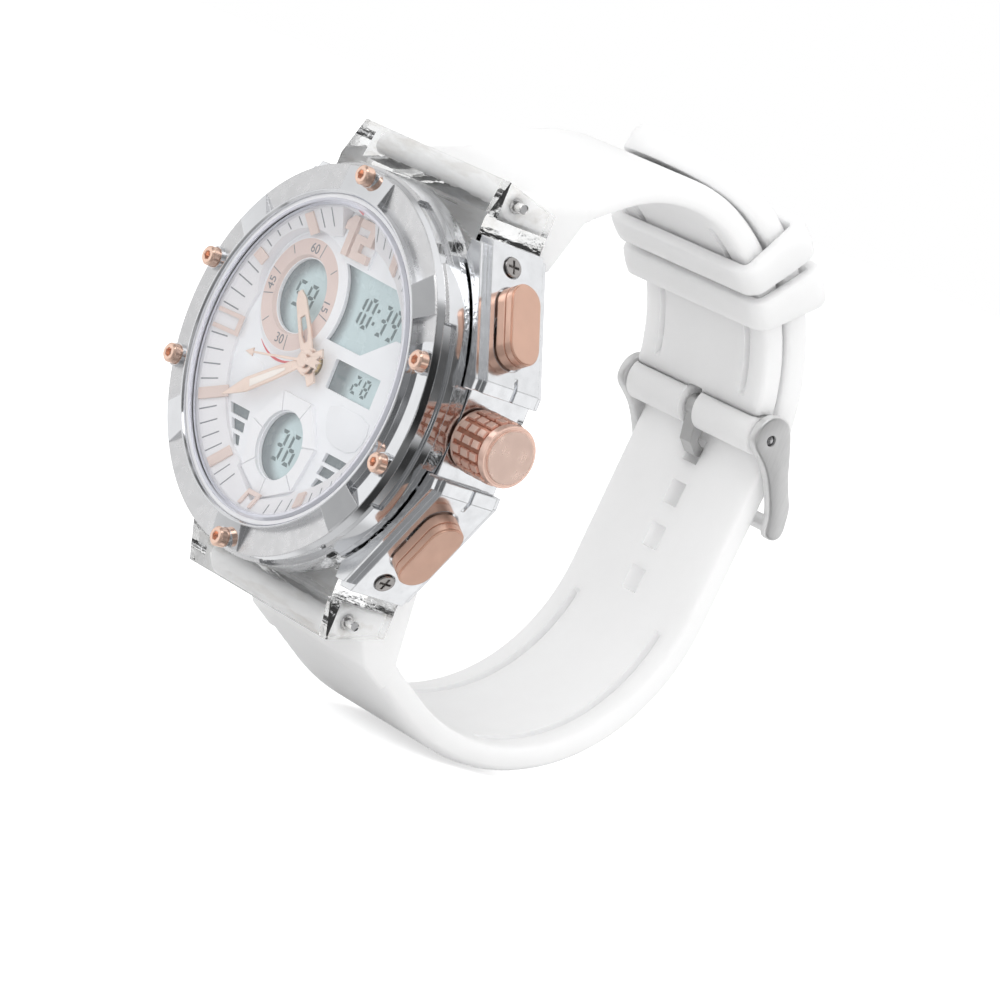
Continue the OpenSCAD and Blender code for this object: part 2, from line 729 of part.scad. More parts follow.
module case_back() {
    color([0.76, 0.76, 0.78]) stand() difference() {
        union() {
            translate([0, 0, 0.3]) cylinder(r = back_r, h = back_t - 0.3);
            cylinder(r1 = back_r - 0.3, r2 = back_r, h = 0.3);
            cylinder(r = spigot_r, h = back_t + spigot_h);
        }
        translate([0, 0, back_t]) cylinder(r = spigot_r - spigot_t, h = 3);
        translate([0, 0, -eps]) difference() {
            cylinder(r = 15.4, h = 0.15);
            cylinder(r = 15, h = 1);
        }
        at_back_screws() {
            translate([0, 0, -1]) cylinder(r = back_shank_r + 0.05, h = 5);
            translate([0, 0, -1]) cylinder(r = back_head_r + 0.1, h = 1.65);
        }
    }
}

module case_back_gasket() {
    color([0.15, 0.15, 0.16]) stand() translate([0, 0, back_t + 0.26]) o_ring((spigot_r + lip_r) / 2, 0.25);
}

module case_back_screws() {
    color([0.7, 0.7, 0.72]) stand() at_back_screws() translate([0, 0, 0.65]) mirror([0, 0, 1])
        cross_screw(back_head_r, 0.5, back_shank_r, 3);
}

// Plan of a guard: its slanted faces carry the pushers, its middle leaves room for the crown.
module guard_plan(inset, crown) {
    face = guard_face - inset;
    ca = cos(90 - pusher_a);
    sa = sin(90 - pusher_a);
    nose_x = guard_face - inset;
    nose_y = (face - nose_x * ca) / sa;
    end_x = (face - (guard_end - inset) * sa) / ca;
    gap = crown ? crown_r + crown_gap : 2;
    difference() {
        polygon([
            [guard_in, guard_end - inset], [end_x, guard_end - inset], [nose_x, nose_y], [nose_x, gap],
            [web_x, gap], [web_x, -gap], [nose_x, -gap], [nose_x, -nose_y],
            [end_x, inset - guard_end], [guard_in, inset - guard_end]
        ]);
        intersection() {
            circle(r = ring_r + fit_gap);
            translate([-30, -30]) square([30 + flat_x + fit_gap, 60]);
        }
        if (inset > 0) circle(r = bezel_r + 0.2);
    }
}

module guard(side) {
    seam_z = side_h - 1.1;
    crown = side > 0;
    difference() {
        mirror([side > 0 ? 0 : 1, 0, 0]) difference() {
            union() {
                translate([0, 0, guard_z]) linear_extrude(guard_step) guard_plan(0.5, crown);
                translate([0, 0, guard_z + guard_step])
                    linear_extrude(flange_z - guard_z - guard_step - 0.1) guard_plan(0, crown);
                translate([0, 0, flange_z - 0.1]) linear_extrude(guard_top - flange_z + 0.1) guard_plan(0.7, crown);
            }
            for (s = [-1, 1]) translate([web_x + 1.1, s > 0 ? 0 : -9, seam_z - 0.2]) cube([9, 9, 0.4]);
            translate([0, 0, flange_z - 0.1]) linear_extrude(9) square([2 * bezel_r + 0.6, 2 * (crown_r + 1.2)], center = true);
        }
        for (a = side > 0 ? right_pushers : left_pushers) at_clock(a) {
            stadium(cap_len + 0.3, cap_w + 0.3, pocket_floor, 30);
            side_rod(spring_hole_r, 19, 30);
        }
        if (crown) at_clock(90) side_rod(tube_r + fit_gap, 14, 24);
        at_guard_screws(side) {
            side_rod(bezel_shank_r + 0.05, 14, 30);
            side_rod(1.15, guard_face - 0.35, 30);
        }
    }
}

module right_guard() {
    color([0.82, 0.83, 0.85]) stand() guard(1);
}

module left_guard() {
    color([0.82, 0.83, 0.85]) stand() guard(-1);
}

module guard_screws() {
    color([0.6, 0.6, 0.62]) stand() for (side = [-1, 1]) at_guard_screws(side)
        translate([0, guard_face - 0.35, side_h]) rotate([-90, 0, 0]) cross_screw(1.05, 0.6, bezel_shank_r, 3.2);
}

module pusher_cap(a) {
    mid = cap_in + cap_t / 2;
    color([0.84, 0.6, 0.5]) stand() at_clock(a) difference() {
        union() {
            stadium(cap_len, cap_w, cap_in, mid);
            stadium(cap_len - 0.4, cap_w - 0.4, cap_in, cap_in + cap_t - 0.2);
            stadium(cap_len, cap_w, mid + 0.15, cap_in + cap_t - 0.2);
            stadium(cap_len - 0.3, cap_w - 0.3, mid, cap_in + cap_t);
        }
        side_rod(pusher_stem_r, 14, mid + 0.2);
    }
}

module pusher_stem(a) {
    color([0.75, 0.75, 0.77]) stand() at_clock(a) {
        side_rod(pusher_stem_r, stem_in, cap_in + cap_t / 2 + 0.2);
        side_rod(stem_flange_r, stem_in, stem_in + stem_flange_t);
    }
}

module pusher_cap_2() { pusher_cap(right_pushers[0]); }
module pusher_cap_4() { pusher_cap(right_pushers[1]); }
module pusher_cap_8() { pusher_cap(left_pushers[0]); }
module pusher_cap_10() { pusher_cap(left_pushers[1]); }
module pusher_stem_2() { pusher_stem(right_pushers[0]); }
module pusher_stem_4() { pusher_stem(right_pushers[1]); }
module pusher_stem_8() { pusher_stem(left_pushers[0]); }
module pusher_stem_10() { pusher_stem(left_pushers[1]); }

// One unbroken coil about Z, from z = 0 to len, as rings of points joined side to side.
module coil(r, wire, len, turns) {
    sides = 6;
    per_turn = 14;
    n = ceil(turns * per_turn);
    points = [
        for (i = [0:n]) let (a = 360 * turns * i / n, z = wire + (len - 2 * wire) * i / n)
            for (j = [0:sides - 1]) let (b = 360 * j / sides)
                [(r + wire * cos(b)) * cos(a), (r + wire * cos(b)) * sin(a), z + wire * sin(b)]
    ];
    walls = [
        for (i = [0:n - 1]) for (j = [0:sides - 1]) let (k = (j + 1) % sides)
            each [
                [i * sides + j, i * sides + k, (i + 1) * sides + j],
                [i * sides + k, (i + 1) * sides + k, (i + 1) * sides + j]
            ]
    ];
    start = [for (j = [1:sides - 2]) [0, j + 1, j]];
    last = n * sides;
    end = [for (j = [1:sides - 2]) [last, last + j, last + j + 1]];
    polyhedron(points, [for (f = concat(walls, start, end)) [f[0], f[2], f[1]]]);
}

module pusher_springs() {
    color([0.7, 0.7, 0.72]) stand() for (a = concat(right_pushers, left_pushers)) at_clock(a)
        translate([0, spring_floor, side_h]) rotate([-90, 0, 0])
            coil(spring_r, spring_wire, pocket_floor - spring_floor, spring_turns);
}

module pusher_seals() {
    color([0.12, 0.12, 0.13]) stand() for (a = concat(right_pushers, left_pushers)) at_clock(a)
        translate([0, seal_at, side_h]) rotate([-90, 0, 0]) o_ring(pusher_stem_r + seal_wire + 0.03, seal_wire);
}

module crown() {
    rows = [[0.5, 1.5], [1.95, 3.1], [3.5, 4.5]];
    color([0.85, 0.58, 0.47]) stand() at_clock(90) difference() {
        union() {
            side_rod(crown_r - 0.4, crown_in, crown_out - 0.2);
            side_rod(crown_r - 0.6, crown_in, crown_out);
            side_rod(crown_r - 0.15, crown_out - 1.1, crown_out - 0.25);
            side_rod(crown_r - 0.15, crown_in, crown_in + 0.3);
            for (row = rows) for (i = [0:crown_studs - 1])
                translate([0, crown_in + row[0], side_h]) rotate([0, i * 360 / crown_studs, 0])
                    translate([-0.38, 0, crown_r - 0.9]) cube([0.76, row[1] - row[0], 0.9]);
        }
        side_rod(tube_r + 0.45, crown_in - 1, crown_in + 1.6);
        side_rod(stem_r, crown_in - 1, crown_out - 1.8);
    }
}

module crown_stem() {
    color([0.72, 0.72, 0.74]) stand() at_clock(90) {
        side_rod(stem_r, pinion_x + pinion_t + 0.25, crown_out - 1.8);
        side_square(square_r, pinion_x - crown_pull, crown_out - 3);
    }
}

module crown_tube() {
    color([0.7, 0.7, 0.72]) stand() at_clock(90) difference() {
        side_rod(tube_r, chamber_r + 0.6, crown_in + 1.3);
        side_rod(stem_r + run_gap, 14, 30);
    }
}

module crown_seal() {
    color([0.12, 0.12, 0.13]) stand() at_clock(90) translate([0, crown_in + 0.6, side_h]) rotate([-90, 0, 0])
        o_ring(tube_r + 0.24, 0.19);
}

module setting_pinion() {
    color([0.8, 0.68, 0.4]) stand() at_clock(90) difference() {
        translate([0, pinion_x, side_h]) rotate([-90, 0, 0]) gear(pinion_r, pinion_t, 12);
        side_square(square_r + 0.08, 12, 18);
    }
}

// A closed strap section: thickness outward from the inner face, then width. Joining pieces are drawn a little in.
function strap_section(r, in = 0) = [
    for (p = [
        [in, 0.3 + in], [0.3 + in, in], [strap_t - 0.9, in], [strap_t - in, 0.7 + in]
    ]) [r + p[0], strap_w / 2 - p[1]],
    for (p = [
        [strap_t - in, 0.7 + in], [strap_t - 0.9, in], [0.3 + in, in], [in, 0.3 + in]
    ]) [r + p[0], p[1] - strap_w / 2]
];

// Sweeps a section about an axis along X through c, from angle a0 to a1 in the YZ plane.
module sweep(c, pts, a0, a1) {
    translate([0, c[0], c[1]]) rotate([90, 0, 90]) rotate([0, 0, a0]) rotate_extrude(angle = a1 - a0, $fn = 180) polygon(pts);
}

// Moves children to the strap's used hole and on along it, outward being +Y there.
module at_hole(k) {
    s = used_hole + k * hole_pitch;
    if (s < 0) translate([0, join_to[0] + s * join_dir[0], join_to[1] + s * join_dir[1]]) rotate([join_a, 0, 0]) children();
    else translate([0, bend_at[0], bend_at[1]]) rotate([join_a + s / (outer_in + strap_t / 2) * 180 / PI, 0, 0])
        translate([0, outer_in, 0]) children();
}

// A strap's head: the eye round the pin and the lump that fills the corner behind the case.
module strap_head(s, line) {
    pin = [pin_y, pin_reach];
    mirror([0, 0, s > 0 ? 0 : 1]) {
        translate([-strap_w / 2, pin[0], pin[1]]) rotate([0, 90, 0]) cylinder(r = knuckle_r, h = strap_w);
        translate([-strap_w / 2, 0, 0]) rotate([90, 0, 90]) linear_extrude(strap_w) polygon(concat([
            [pin[0], pin[1] + knuckle_r], [pin[0], pin[1] - knuckle_r], [-ring_z + 0.4, pin[1] - knuckle_r],
            [head_back, head_reach], [head_back + 2.6, head_reach]
        ], line, [[-1.5, pin[1] + knuckle_r]]));
    }
}

module strap_grooves(c, r, a0, a1) {
    for (s = [-1, 1]) sweep(c, [
        [r - 1, s * groove_x - groove_w / 2], [r + groove_d, s * groove_x - groove_w / 2],
        [r + groove_d, s * groove_x + groove_w / 2], [r - 1, s * groove_x + groove_w / 2]
    ], a0, a1);
}

module strap_upper() {
    start = over_at + over_bend * [cos(over_end), sin(over_end)];
    out = over_at + (over_bend + strap_t) * [cos(over_end), sin(over_end)];
    dir = [sin(over_end), -cos(over_end)];
    run = 5;
    color([0.94, 0.94, 0.95]) difference() {
        union() {
            strap_head(1, [start - dir * run, start - dir * (run - 1), out - dir * (run - 1), out - dir * run]);
            straight_run(start, out, dir, run);
            sweep(over_at, strap_section(over_bend, lap_in), over_a - lap_a, over_end);
            sweep(bend_at, strap_section(back_bend), buckle_a, over_a);
            translate([-strap_w / 2, buckle_at[0], buckle_at[1]]) rotate([0, 90, 0]) cylinder(d = strap_t, h = strap_w);
        }
        strap_grooves(bend_at, back_bend, 14, 68);
        translate([-strap_w, pin_y, pin_reach]) rotate([0, 90, 0]) cylinder(r = spring_bar_r + fit_gap, h = 2 * strap_w);
        translate([-strap_w, buckle_at[0], buckle_at[1]]) rotate([0, 90, 0]) cylinder(r = buckle_pin_r + run_gap, h = 2 * strap_w);
        translate([0, bend_at[0], bend_at[1]]) rotate([buckle_a, 0, 0])
            translate([-tongue_w / 2 - soft_gap, back_bend - 1, -4]) cube([tongue_w + 2 * soft_gap, strap_t + 2, 6.2]);
    }
}

// The straight stretch between a strap's head and its first bend.
module straight_run(start, out, dir, run) {
    across = lap_in * (out - start) / norm(out - start);
    w = strap_w - 4 * lap_in;
    translate([-w / 2, 0, 0]) rotate([90, 0, 90]) linear_extrude(w) polygon([
        start - dir * (run - lap) + 2 * across, start + dir * lap + 2 * across,
        out + dir * lap - 2 * across, out - dir * (run - lap) - 2 * across
    ]);
}

module strap_lower() {
    start = under_at + under_bend * [cos(under_a), sin(under_a)];
    out = under_at + (under_bend + strap_t) * [cos(under_a), sin(under_a)];
    dir = [-sin(under_a), cos(under_a)];
    run = 9;
    color([0.94, 0.94, 0.95]) difference() {
        union() {
            strap_head(-1, [for (p = [start - dir * (run - 3), start - dir * (run - 4), out - dir * (run - 4), out - dir * run])
                [p[0], -p[1]]]);
            straight_run(start, out, dir, run - 3);
            sweep(under_at, strap_section(under_bend), under_a, join_a);
            translate([0, join_from[0], join_from[1]]) rotate([join_a, 0, 0]) translate([0, 0, -lap])
                linear_extrude(join_len + 2 * lap)
                polygon([for (q = strap_section(0, lap_in)) [q[1], q[0]]]);
            difference() {
                sweep(bend_at, strap_section(outer_in), join_a, tail_a);
                translate([0, bend_at[0], bend_at[1]]) rotate([tail_a, 0, 0]) tail_corners();
            }
        }
        strap_grooves(under_at, under_bend, -85, -12);
        translate([-strap_w, pin_y, -pin_reach]) rotate([0, 90, 0]) cylinder(r = spring_bar_r + fit_gap, h = 2 * strap_w);
        for (k = [-3:3]) at_hole(k) translate([-hole_w / 2, -1, -hole_len / 2]) cube([hole_w, strap_t + 2, hole_len]);
    }
}

// What the strap's rounded tail lacks of a square end.
module tail_corners() {
    r = strap_w / 2;
    translate([-r - 1, outer_in - 2, -r]) difference() {
        cube([2 * r + 2, strap_t + 6, r + 4]);
        translate([r + 1, -1, 0]) rotate([-90, 0, 0]) cylinder(r = r, h = strap_t + 8);
    }
}

// A loop of rubber that wraps both layers of the strap, centred on an angle of the back bend.
module keeper(a) {
    r0 = back_bend - soft_gap;
    r1 = outer_in + strap_t + soft_gap;
    w = strap_w / 2 + soft_gap;
    half = keeper_len / r1 * 90 / PI;
    difference() {
        sweep(bend_at, [
            [r0 - keeper_t, -w - 1], [r0 - keeper_t, w + 1], [r0 - keeper_t + 0.6, w + keeper_t],
            [r1 + keeper_t - 0.6, w + keeper_t], [r1 + keeper_t, w + 1], [r1 + keeper_t, -w - 1],
            [r1 + keeper_t - 0.6, -w - keeper_t], [r0 - keeper_t + 0.6, -w - keeper_t]
        ], a - half, a + half);
        sweep(bend_at, [[r0, -w], [r0, w], [r1, w], [r1, -w]], a - half - 1, a + half + 1);
    }
}

module fixed_keeper() {
    color([0.95, 0.95, 0.96]) keeper(fixed_keeper_a);
}

module loose_keeper() {
    color([0.95, 0.95, 0.96]) keeper(loose_keeper_a);
}

// A telescoping strap pin: its tube is bored at both ends for the tips.
module spring_bar(s) {
    color([0.75, 0.75, 0.77]) translate([0, pin_y, s * pin_reach]) rotate([0, 90, 0]) difference() {
        translate([0, 0, -tube_end]) cylinder(r = spring_bar_r, h = 2 * tube_end);
        for (e = [0, 1]) mirror([0, 0, e]) translate([0, 0, tip_in - 2.4]) cylinder(r = tip_r + run_gap, h = 20);
    }
}

// One tip of a strap pin, sitting in its lug.
module bar_tip(s, side) {
    color([0.7, 0.7, 0.72]) translate([side > 0 ? tip_in : -tip_out, pin_y, s * pin_reach]) rotate([0, 90, 0])
        cylinder(r = tip_r, h = tip_out - tip_in);
}

module spring_bar_top() { spring_bar(1); }
module spring_bar_bottom() { spring_bar(-1); }
module bar_tip_top_right() { bar_tip(1, 1); }
module bar_tip_top_left() { bar_tip(1, -1); }
module bar_tip_bottom_right() { bar_tip(-1, 1); }
module bar_tip_bottom_left() { bar_tip(-1, -1); }

module buckle_frame() {
    color([0.62, 0.63, 0.64]) difference() {
        union() {
            for (s = [0, 1]) mirror([s, 0, 0]) {
                translate([plate_in - 0.05, buckle_at[0], buckle_at[1]]) rotate([0, 90, 0])
                    cylinder(r = 2.4, h = plate_t + 0.1);
                translate([plate_in - 0.05, bar_at[0], bar_at[1]]) rotate([0, 90, 0])
                    cylinder(r = bar_r + 0.25, h = plate_t + 0.1);
                translate([plate_in, 0, 0]) rotate([90, 0, 90]) linear_extrude(plate_t) polygon([
                    buckle_at + [2.25, 0.8], buckle_at + [3.4, -1], buckle_at + [4.4, -3],
                    bar_at + [-0.1, 3.8], bar_at + [0.6, 2.8], bar_at + [1.05, 1], bar_at + [1, -0.4],
                    bar_at + [-0.9, -0.5], bar_at + [-1.4, 1], bar_at + [-2.2, 2.2], bar_at + [-3.1, 3.2],
                    buckle_at + [1.6, -4.3], buckle_at + [0.4, -3.2], buckle_at + [-0.7, -2.4],
                    buckle_at + [-1.65, -1.55]
                ]);
            }
            translate([-plate_in - 0.5, bar_at[0], bar_at[1]]) rotate([0, 90, 0])
                cylinder(r = bar_r, h = 2 * plate_in + 1);
        }
        translate([-50, buckle_at[0], buckle_at[1]]) rotate([0, 90, 0])
            cylinder(r = buckle_pin_r + run_gap, h = 100);
    }
}

module buckle_pin() {
    color([0.7, 0.7, 0.72]) translate([-plate_in - plate_t + 0.1, buckle_at[0], buckle_at[1]]) rotate([0, 90, 0])
        cylinder(r = buckle_pin_r, h = 2 * (plate_in + plate_t) - 0.2);
}

module buckle_tongue() {
    in_y = join_to[0] + used_hole * join_dir[0];
    half = tongue_t / 2;
    rest_y = bar_at[0] + bar_r + 0.05;
    color([0.66, 0.66, 0.67]) difference() {
        union() {
            translate([-tongue_w / 2 - 0.1, buckle_at[0], buckle_at[1]]) rotate([0, 90, 0])
                cylinder(r = tongue_ring_r, h = tongue_w + 0.2);
            translate([-tongue_w / 2, 0, 0]) rotate([90, 0, 90]) linear_extrude(tongue_w) polygon([
                buckle_at + [-1.05, -0.3], buckle_at + [1.05, -0.3], [in_y - 0.9, hole_z + half + 0.6],
                [in_y + 0.1, hole_z + half], [strap_out_y + 0.5, hole_z + half], [rest_y + 0.9, bar_at[1] + 1.6],
                [rest_y + 1, bar_at[1] - 1.6], [rest_y + 0.3, bar_at[1] - 1.6], [rest_y, bar_at[1] + 0.6],
                [strap_out_y + 0.35, hole_z - half], [in_y - 0.5, hole_z - half], [in_y - 1.9, hole_z + half + 0.2]
            ]);
        }
        translate([-5, buckle_at[0], buckle_at[1]]) rotate([0, 90, 0]) cylinder(r = buckle_pin_r + run_gap, h = 10);
    }
}

outer_case();
middle_case();
bezel();
bezel_screws();
crystal();
crystal_gasket();
chapter_ring();
dial();
seconds_ring();
weekday_ring();
hour_markers();
lcd_panel();
light_guide();
contact_strips();
movement_holder();
circuit_board();
battery();
battery_clip();
buzzer_disc();
quartz_movement();
hour_wheel();
cannon_pinion();
second_arbor();
hour_hand();
minute_hand();
second_hand();
case_back();
case_back_gasket();
case_back_screws();
right_guard();
left_guard();
guard_screws();
pusher_cap_2();
pusher_cap_4();
pusher_cap_8();
pusher_cap_10();
pusher_stem_2();
pusher_stem_4();
pusher_stem_8();
pusher_stem_10();
pusher_springs();
pusher_seals();
crown();
crown_stem();
crown_tube();
crown_seal();
setting_pinion();
strap_upper();
strap_lower();
fixed_keeper();
loose_keeper();
spring_bar_top();
spring_bar_bottom();
bar_tip_top_right();
bar_tip_top_left();
bar_tip_bottom_right();
bar_tip_bottom_left();
buckle_frame();
buckle_pin();
buckle_tongue();
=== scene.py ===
"""Sports watch: finishes, printed dial, fine forms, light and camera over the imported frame."""

import math

import bmesh
import bpy
from mathutils import Matrix, Vector


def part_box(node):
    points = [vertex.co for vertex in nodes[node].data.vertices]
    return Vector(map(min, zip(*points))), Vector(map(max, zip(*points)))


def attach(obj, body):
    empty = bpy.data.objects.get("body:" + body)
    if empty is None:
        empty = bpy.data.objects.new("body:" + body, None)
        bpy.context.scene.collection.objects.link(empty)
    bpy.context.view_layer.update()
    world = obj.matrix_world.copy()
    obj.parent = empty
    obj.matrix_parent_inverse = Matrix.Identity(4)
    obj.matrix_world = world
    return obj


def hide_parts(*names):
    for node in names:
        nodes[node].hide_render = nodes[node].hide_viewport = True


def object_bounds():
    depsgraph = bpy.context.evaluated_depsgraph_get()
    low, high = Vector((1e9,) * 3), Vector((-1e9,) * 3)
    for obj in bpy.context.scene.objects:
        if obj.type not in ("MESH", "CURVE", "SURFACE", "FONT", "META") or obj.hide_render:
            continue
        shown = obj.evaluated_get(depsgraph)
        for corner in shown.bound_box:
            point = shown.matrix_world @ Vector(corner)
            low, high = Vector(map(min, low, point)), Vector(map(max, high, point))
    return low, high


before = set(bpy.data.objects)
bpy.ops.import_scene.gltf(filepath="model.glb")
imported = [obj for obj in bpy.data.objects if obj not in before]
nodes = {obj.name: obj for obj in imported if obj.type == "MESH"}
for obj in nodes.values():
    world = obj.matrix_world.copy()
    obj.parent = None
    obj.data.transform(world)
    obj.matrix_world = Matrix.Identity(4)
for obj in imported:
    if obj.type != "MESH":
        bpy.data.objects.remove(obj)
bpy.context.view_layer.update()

MM = 0.001
TURN = 2 * math.pi


# Places. Case pieces are drawn lying on their back in millimetres and stood up by case_point.
def case_point(x, y, z):
    """A point of the lying case in the shared frame; x is to the crown, y to 12 o'clock, z to the crystal."""
    return Vector((x, -z, y)) * MM


def frame_point(x, y, z):
    """A point in the shared frame, given in millimetres."""
    return Vector((x, y, z)) * MM


def clock(radius, degrees):
    """A place in the lying case at a clock angle."""
    a = math.radians(degrees)
    return radius * math.sin(a), radius * math.cos(a)


# Materials
def link(m, source, target):
    """Joins two sockets of a material or of the world."""
    m.node_tree.links.new(source, target)


def new_material(name):
    """A material with one plain shader, and that shader."""
    m = bpy.data.materials.new(name)
    m.use_nodes = True
    m.node_tree.nodes.clear()
    out = m.node_tree.nodes.new("ShaderNodeOutputMaterial")
    shader = m.node_tree.nodes.new("ShaderNodeBsdfPrincipled")
    link(m, shader.outputs[0], out.inputs[0])
    return m, shader


def node(m, kind, **values):
    """A new node of a material or of the world; values name its inputs and settings."""
    n = m.node_tree.nodes.new(kind)
    for key, value in values.items():
        if key in n.inputs:
            n.inputs[key].default_value = value
        else:
            setattr(n, key, value)
    return n


def noise(m, scale, detail=3.0, stretch=(1, 1, 1)):
    """Noise over the object's own coordinates, stretched along an axis where a grain runs."""
    where = node(m, "ShaderNodeTexCoord")
    mapping = node(m, "ShaderNodeMapping", Scale=stretch)
    n = node(m, "ShaderNodeTexNoise", Scale=scale, Detail=detail)
    link(m, where.outputs["Object"], mapping.inputs["Vector"])
    link(m, mapping.outputs[0], n.inputs["Vector"])
    return n


def ramp(m, source, stops):
    """A colour ramp fed by the source's first output."""
    r = node(m, "ShaderNodeValToRGB")
    elements = r.color_ramp.elements
    while len(elements) < len(stops):
        elements.new(0.5)
    for element, (place, colour) in zip(elements, stops):
        element.position = place
        element.color = colour if len(colour) == 4 else (*colour, 1)
    link(m, source.outputs[0], r.inputs[0])
    return r


def grey(v):
    """An even colour, from black at 0 to white at 1."""
    return (v, v, v, 1)


def vary_colour(m, shader, colour, scale, amount, stretch=(1, 1, 1)):
    """Small differences of tone over a surface."""
    low = [c * (1 - amount) for c in colour]
    high = [min(1, c * (1 + amount)) for c in colour]
    tone = ramp(m, noise(m, scale, stretch=stretch), [(0.3, low), (0.7, high)])
    link(m, tone.outputs[0], shader.inputs["Base Color"])


def vary_roughness(m, shader, low, high, scale, stretch=(1, 1, 1)):
    """Small differences of gloss over a surface."""
    tone = ramp(m, noise(m, scale, stretch=stretch), [(0.3, grey(low)), (0.7, grey(high))])
    link(m, tone.outputs[0], shader.inputs["Roughness"])


def grain(m, shader, scale, depth, stretch=(1, 1, 1)):
    """A fine bump; depth is in metres."""
    bump = node(m, "ShaderNodeBump", Strength=0.6, Distance=depth)
    link(m, noise(m, scale, 4.0, stretch).outputs[0], bump.inputs["Height"])
    link(m, bump.outputs[0], shader.inputs["Normal"])
    return bump


METAL_TONE_SCALE = 400
METAL_SHEEN_SCALE = 900
METAL_EDGE = 0.00014
PLASTIC_TONE_SCALE = 300
PLASTIC_SHEEN_SCALE = 700
CLEAR_SHEEN_SCALE = 300


def metal(name, colour, rough, spread=0.05, grain_scale=0, grain_depth=0, stretch=(1, 1, 1), share=1):
    """A plated or plain metal; share below 1 gives it the milky look of a lacquered or blasted one."""
    m, s = new_material(name)
    s.inputs["Metallic"].default_value = share
    vary_colour(m, s, colour, METAL_TONE_SCALE, 0.03, stretch)
    vary_roughness(m, s, rough, rough + spread, METAL_SHEEN_SCALE, stretch)
    edge = node(m, "ShaderNodeBevel", samples=4, Radius=METAL_EDGE)
    if grain_depth:
        bump = grain(m, s, grain_scale, grain_depth, stretch)
        link(m, edge.outputs[0], bump.inputs["Normal"])
    else:
        link(m, edge.outputs[0], s.inputs["Normal"])
    return m


def plastic(name, colour, rough, amount=0.02, grain_scale=3000, grain_depth=0.000004, **sockets):
    """A plastic, a print or a rubber; sockets are further inputs of its shader."""
    m, s = new_material(name)
    vary_colour(m, s, colour, PLASTIC_TONE_SCALE, amount)
    vary_roughness(m, s, rough, rough + 0.08, PLASTIC_SHEEN_SCALE)
    grain(m, s, grain_scale, grain_depth)
    for key, value in sockets.items():
        s.inputs[key.replace("_", " ")].default_value = value
    return m


def distance_to(m, centre, axes):
    """Distance in metres from a line through a place given in millimetres, in the plane of two axes."""
    where = node(m, "ShaderNodeTexCoord")
    shift = node(m, "ShaderNodeVectorMath", operation="SUBTRACT")
    shift.inputs[1].default_value = [c * MM for c in centre]
    flat = node(m, "ShaderNodeVectorMath", operation="MULTIPLY")
    flat.inputs[1].default_value = axes
    length = node(m, "ShaderNodeVectorMath", operation="LENGTH")
    link(m, where.outputs["Object"], shift.inputs[0])
    link(m, shift.outputs[0], flat.inputs[0])
    link(m, flat.outputs[0], length.inputs[0])
    return length.outputs["Value"]


def place_along(m, axis):
    """The object's own coordinate along X, Y or Z, in metres."""
    where = node(m, "ShaderNodeTexCoord")
    parts = node(m, "ShaderNodeSeparateXYZ")
    link(m, where.outputs["Object"], parts.inputs[0])
    return parts.outputs[axis]


SHARP = 0.1


def rises(m, socket, low, high=None):
    """0 below a place and 1 above another, in millimetres, with a soft change between."""
    high = low + SHARP if high is None else high
    r = node(m, "ShaderNodeMapRange", interpolation_type="SMOOTHSTEP")
    r.inputs["From Min"].default_value = low * MM
    r.inputs["From Max"].default_value = high * MM
    link(m, socket, r.inputs["Value"])
    return r.outputs[0]


def both(m, one, other, operation="MULTIPLY"):
    """Two masks multiplied, or joined by another operation."""
    n = node(m, "ShaderNodeMath", operation=operation)
    link(m, one, n.inputs[0])
    link(m, other, n.inputs[1])
    return n.outputs[0]


def times(m, socket, amount):
    """A mask made weaker by an amount below 1."""
    n = node(m, "ShaderNodeMath", operation="MULTIPLY")
    n.inputs[1].default_value = amount
    link(m, socket, n.inputs[0])
    return n.outputs[0]


def mix_shaders(m, factor, one, other):
    """One shader where the factor is 0, and the other where it is 1."""
    n = node(m, "ShaderNodeMixShader")
    link(m, factor, n.inputs[0])
    link(m, one, n.inputs[1])
    link(m, other, n.inputs[2])
    return n.outputs[0]


def inverse(m, socket):
    """1 where a mask is 0, and 0 where it is 1."""
    n = node(m, "ShaderNodeMath", operation="SUBTRACT")
    n.inputs[0].default_value = 1
    link(m, socket, n.inputs[1])
    return n.outputs[0]


def second_colour(m, shader, mask, colour):
    """Another colour where the mask is 1."""
    base = shader.inputs["Base Color"]
    former = base.links[0].from_socket
    mix = node(m, "ShaderNodeMix", data_type="RGBA")
    mix.inputs["B"].default_value = (*colour, 1)
    link(m, mask, mix.inputs["Factor"])
    link(m, former, mix.inputs["A"])
    link(m, mix.outputs["Result"], base)


def shader_of(m):
    """The material's main shader."""
    return next(n for n in m.node_tree.nodes if n.type == "BSDF_PRINCIPLED")


def output_of(m):
    """The material's output."""
    return next(n for n in m.node_tree.nodes if n.type == "OUTPUT_MATERIAL")


CHROME = metal("chrome", (0.80, 0.81, 0.83), 0.05, 0.05)
CHROME_RIPPLED = metal("chrome_rippled", (0.80, 0.81, 0.83), 0.06, 0.05, 700, 0.0002)
SCREW_STEEL = metal("screw_steel", (0.46, 0.44, 0.43), 0.16, 0.1)
CHROME_SATIN = metal("chrome_satin", (0.80, 0.80, 0.81), 0.24, 0.1, 7000, 0.00003)
CHROME_GUARD = metal("chrome_guard", (0.88, 0.89, 0.91), 0.10, 0.08)
STEEL = metal("steel", (0.56, 0.56, 0.56), 0.28, 0.1, 2500, 0.000004, (1, 6, 1))
STEEL_FINE = metal("steel_fine", (0.66, 0.66, 0.67), 0.22, 0.08)
ROSE = metal("rose_gold", (0.96, 0.68, 0.55), 0.16, 0.08, share=0.85)
ROSE_SATIN = metal("rose_gold_satin", (0.92, 0.60, 0.47), 0.34, 0.08, 9000, 0.000003, share=0.85)
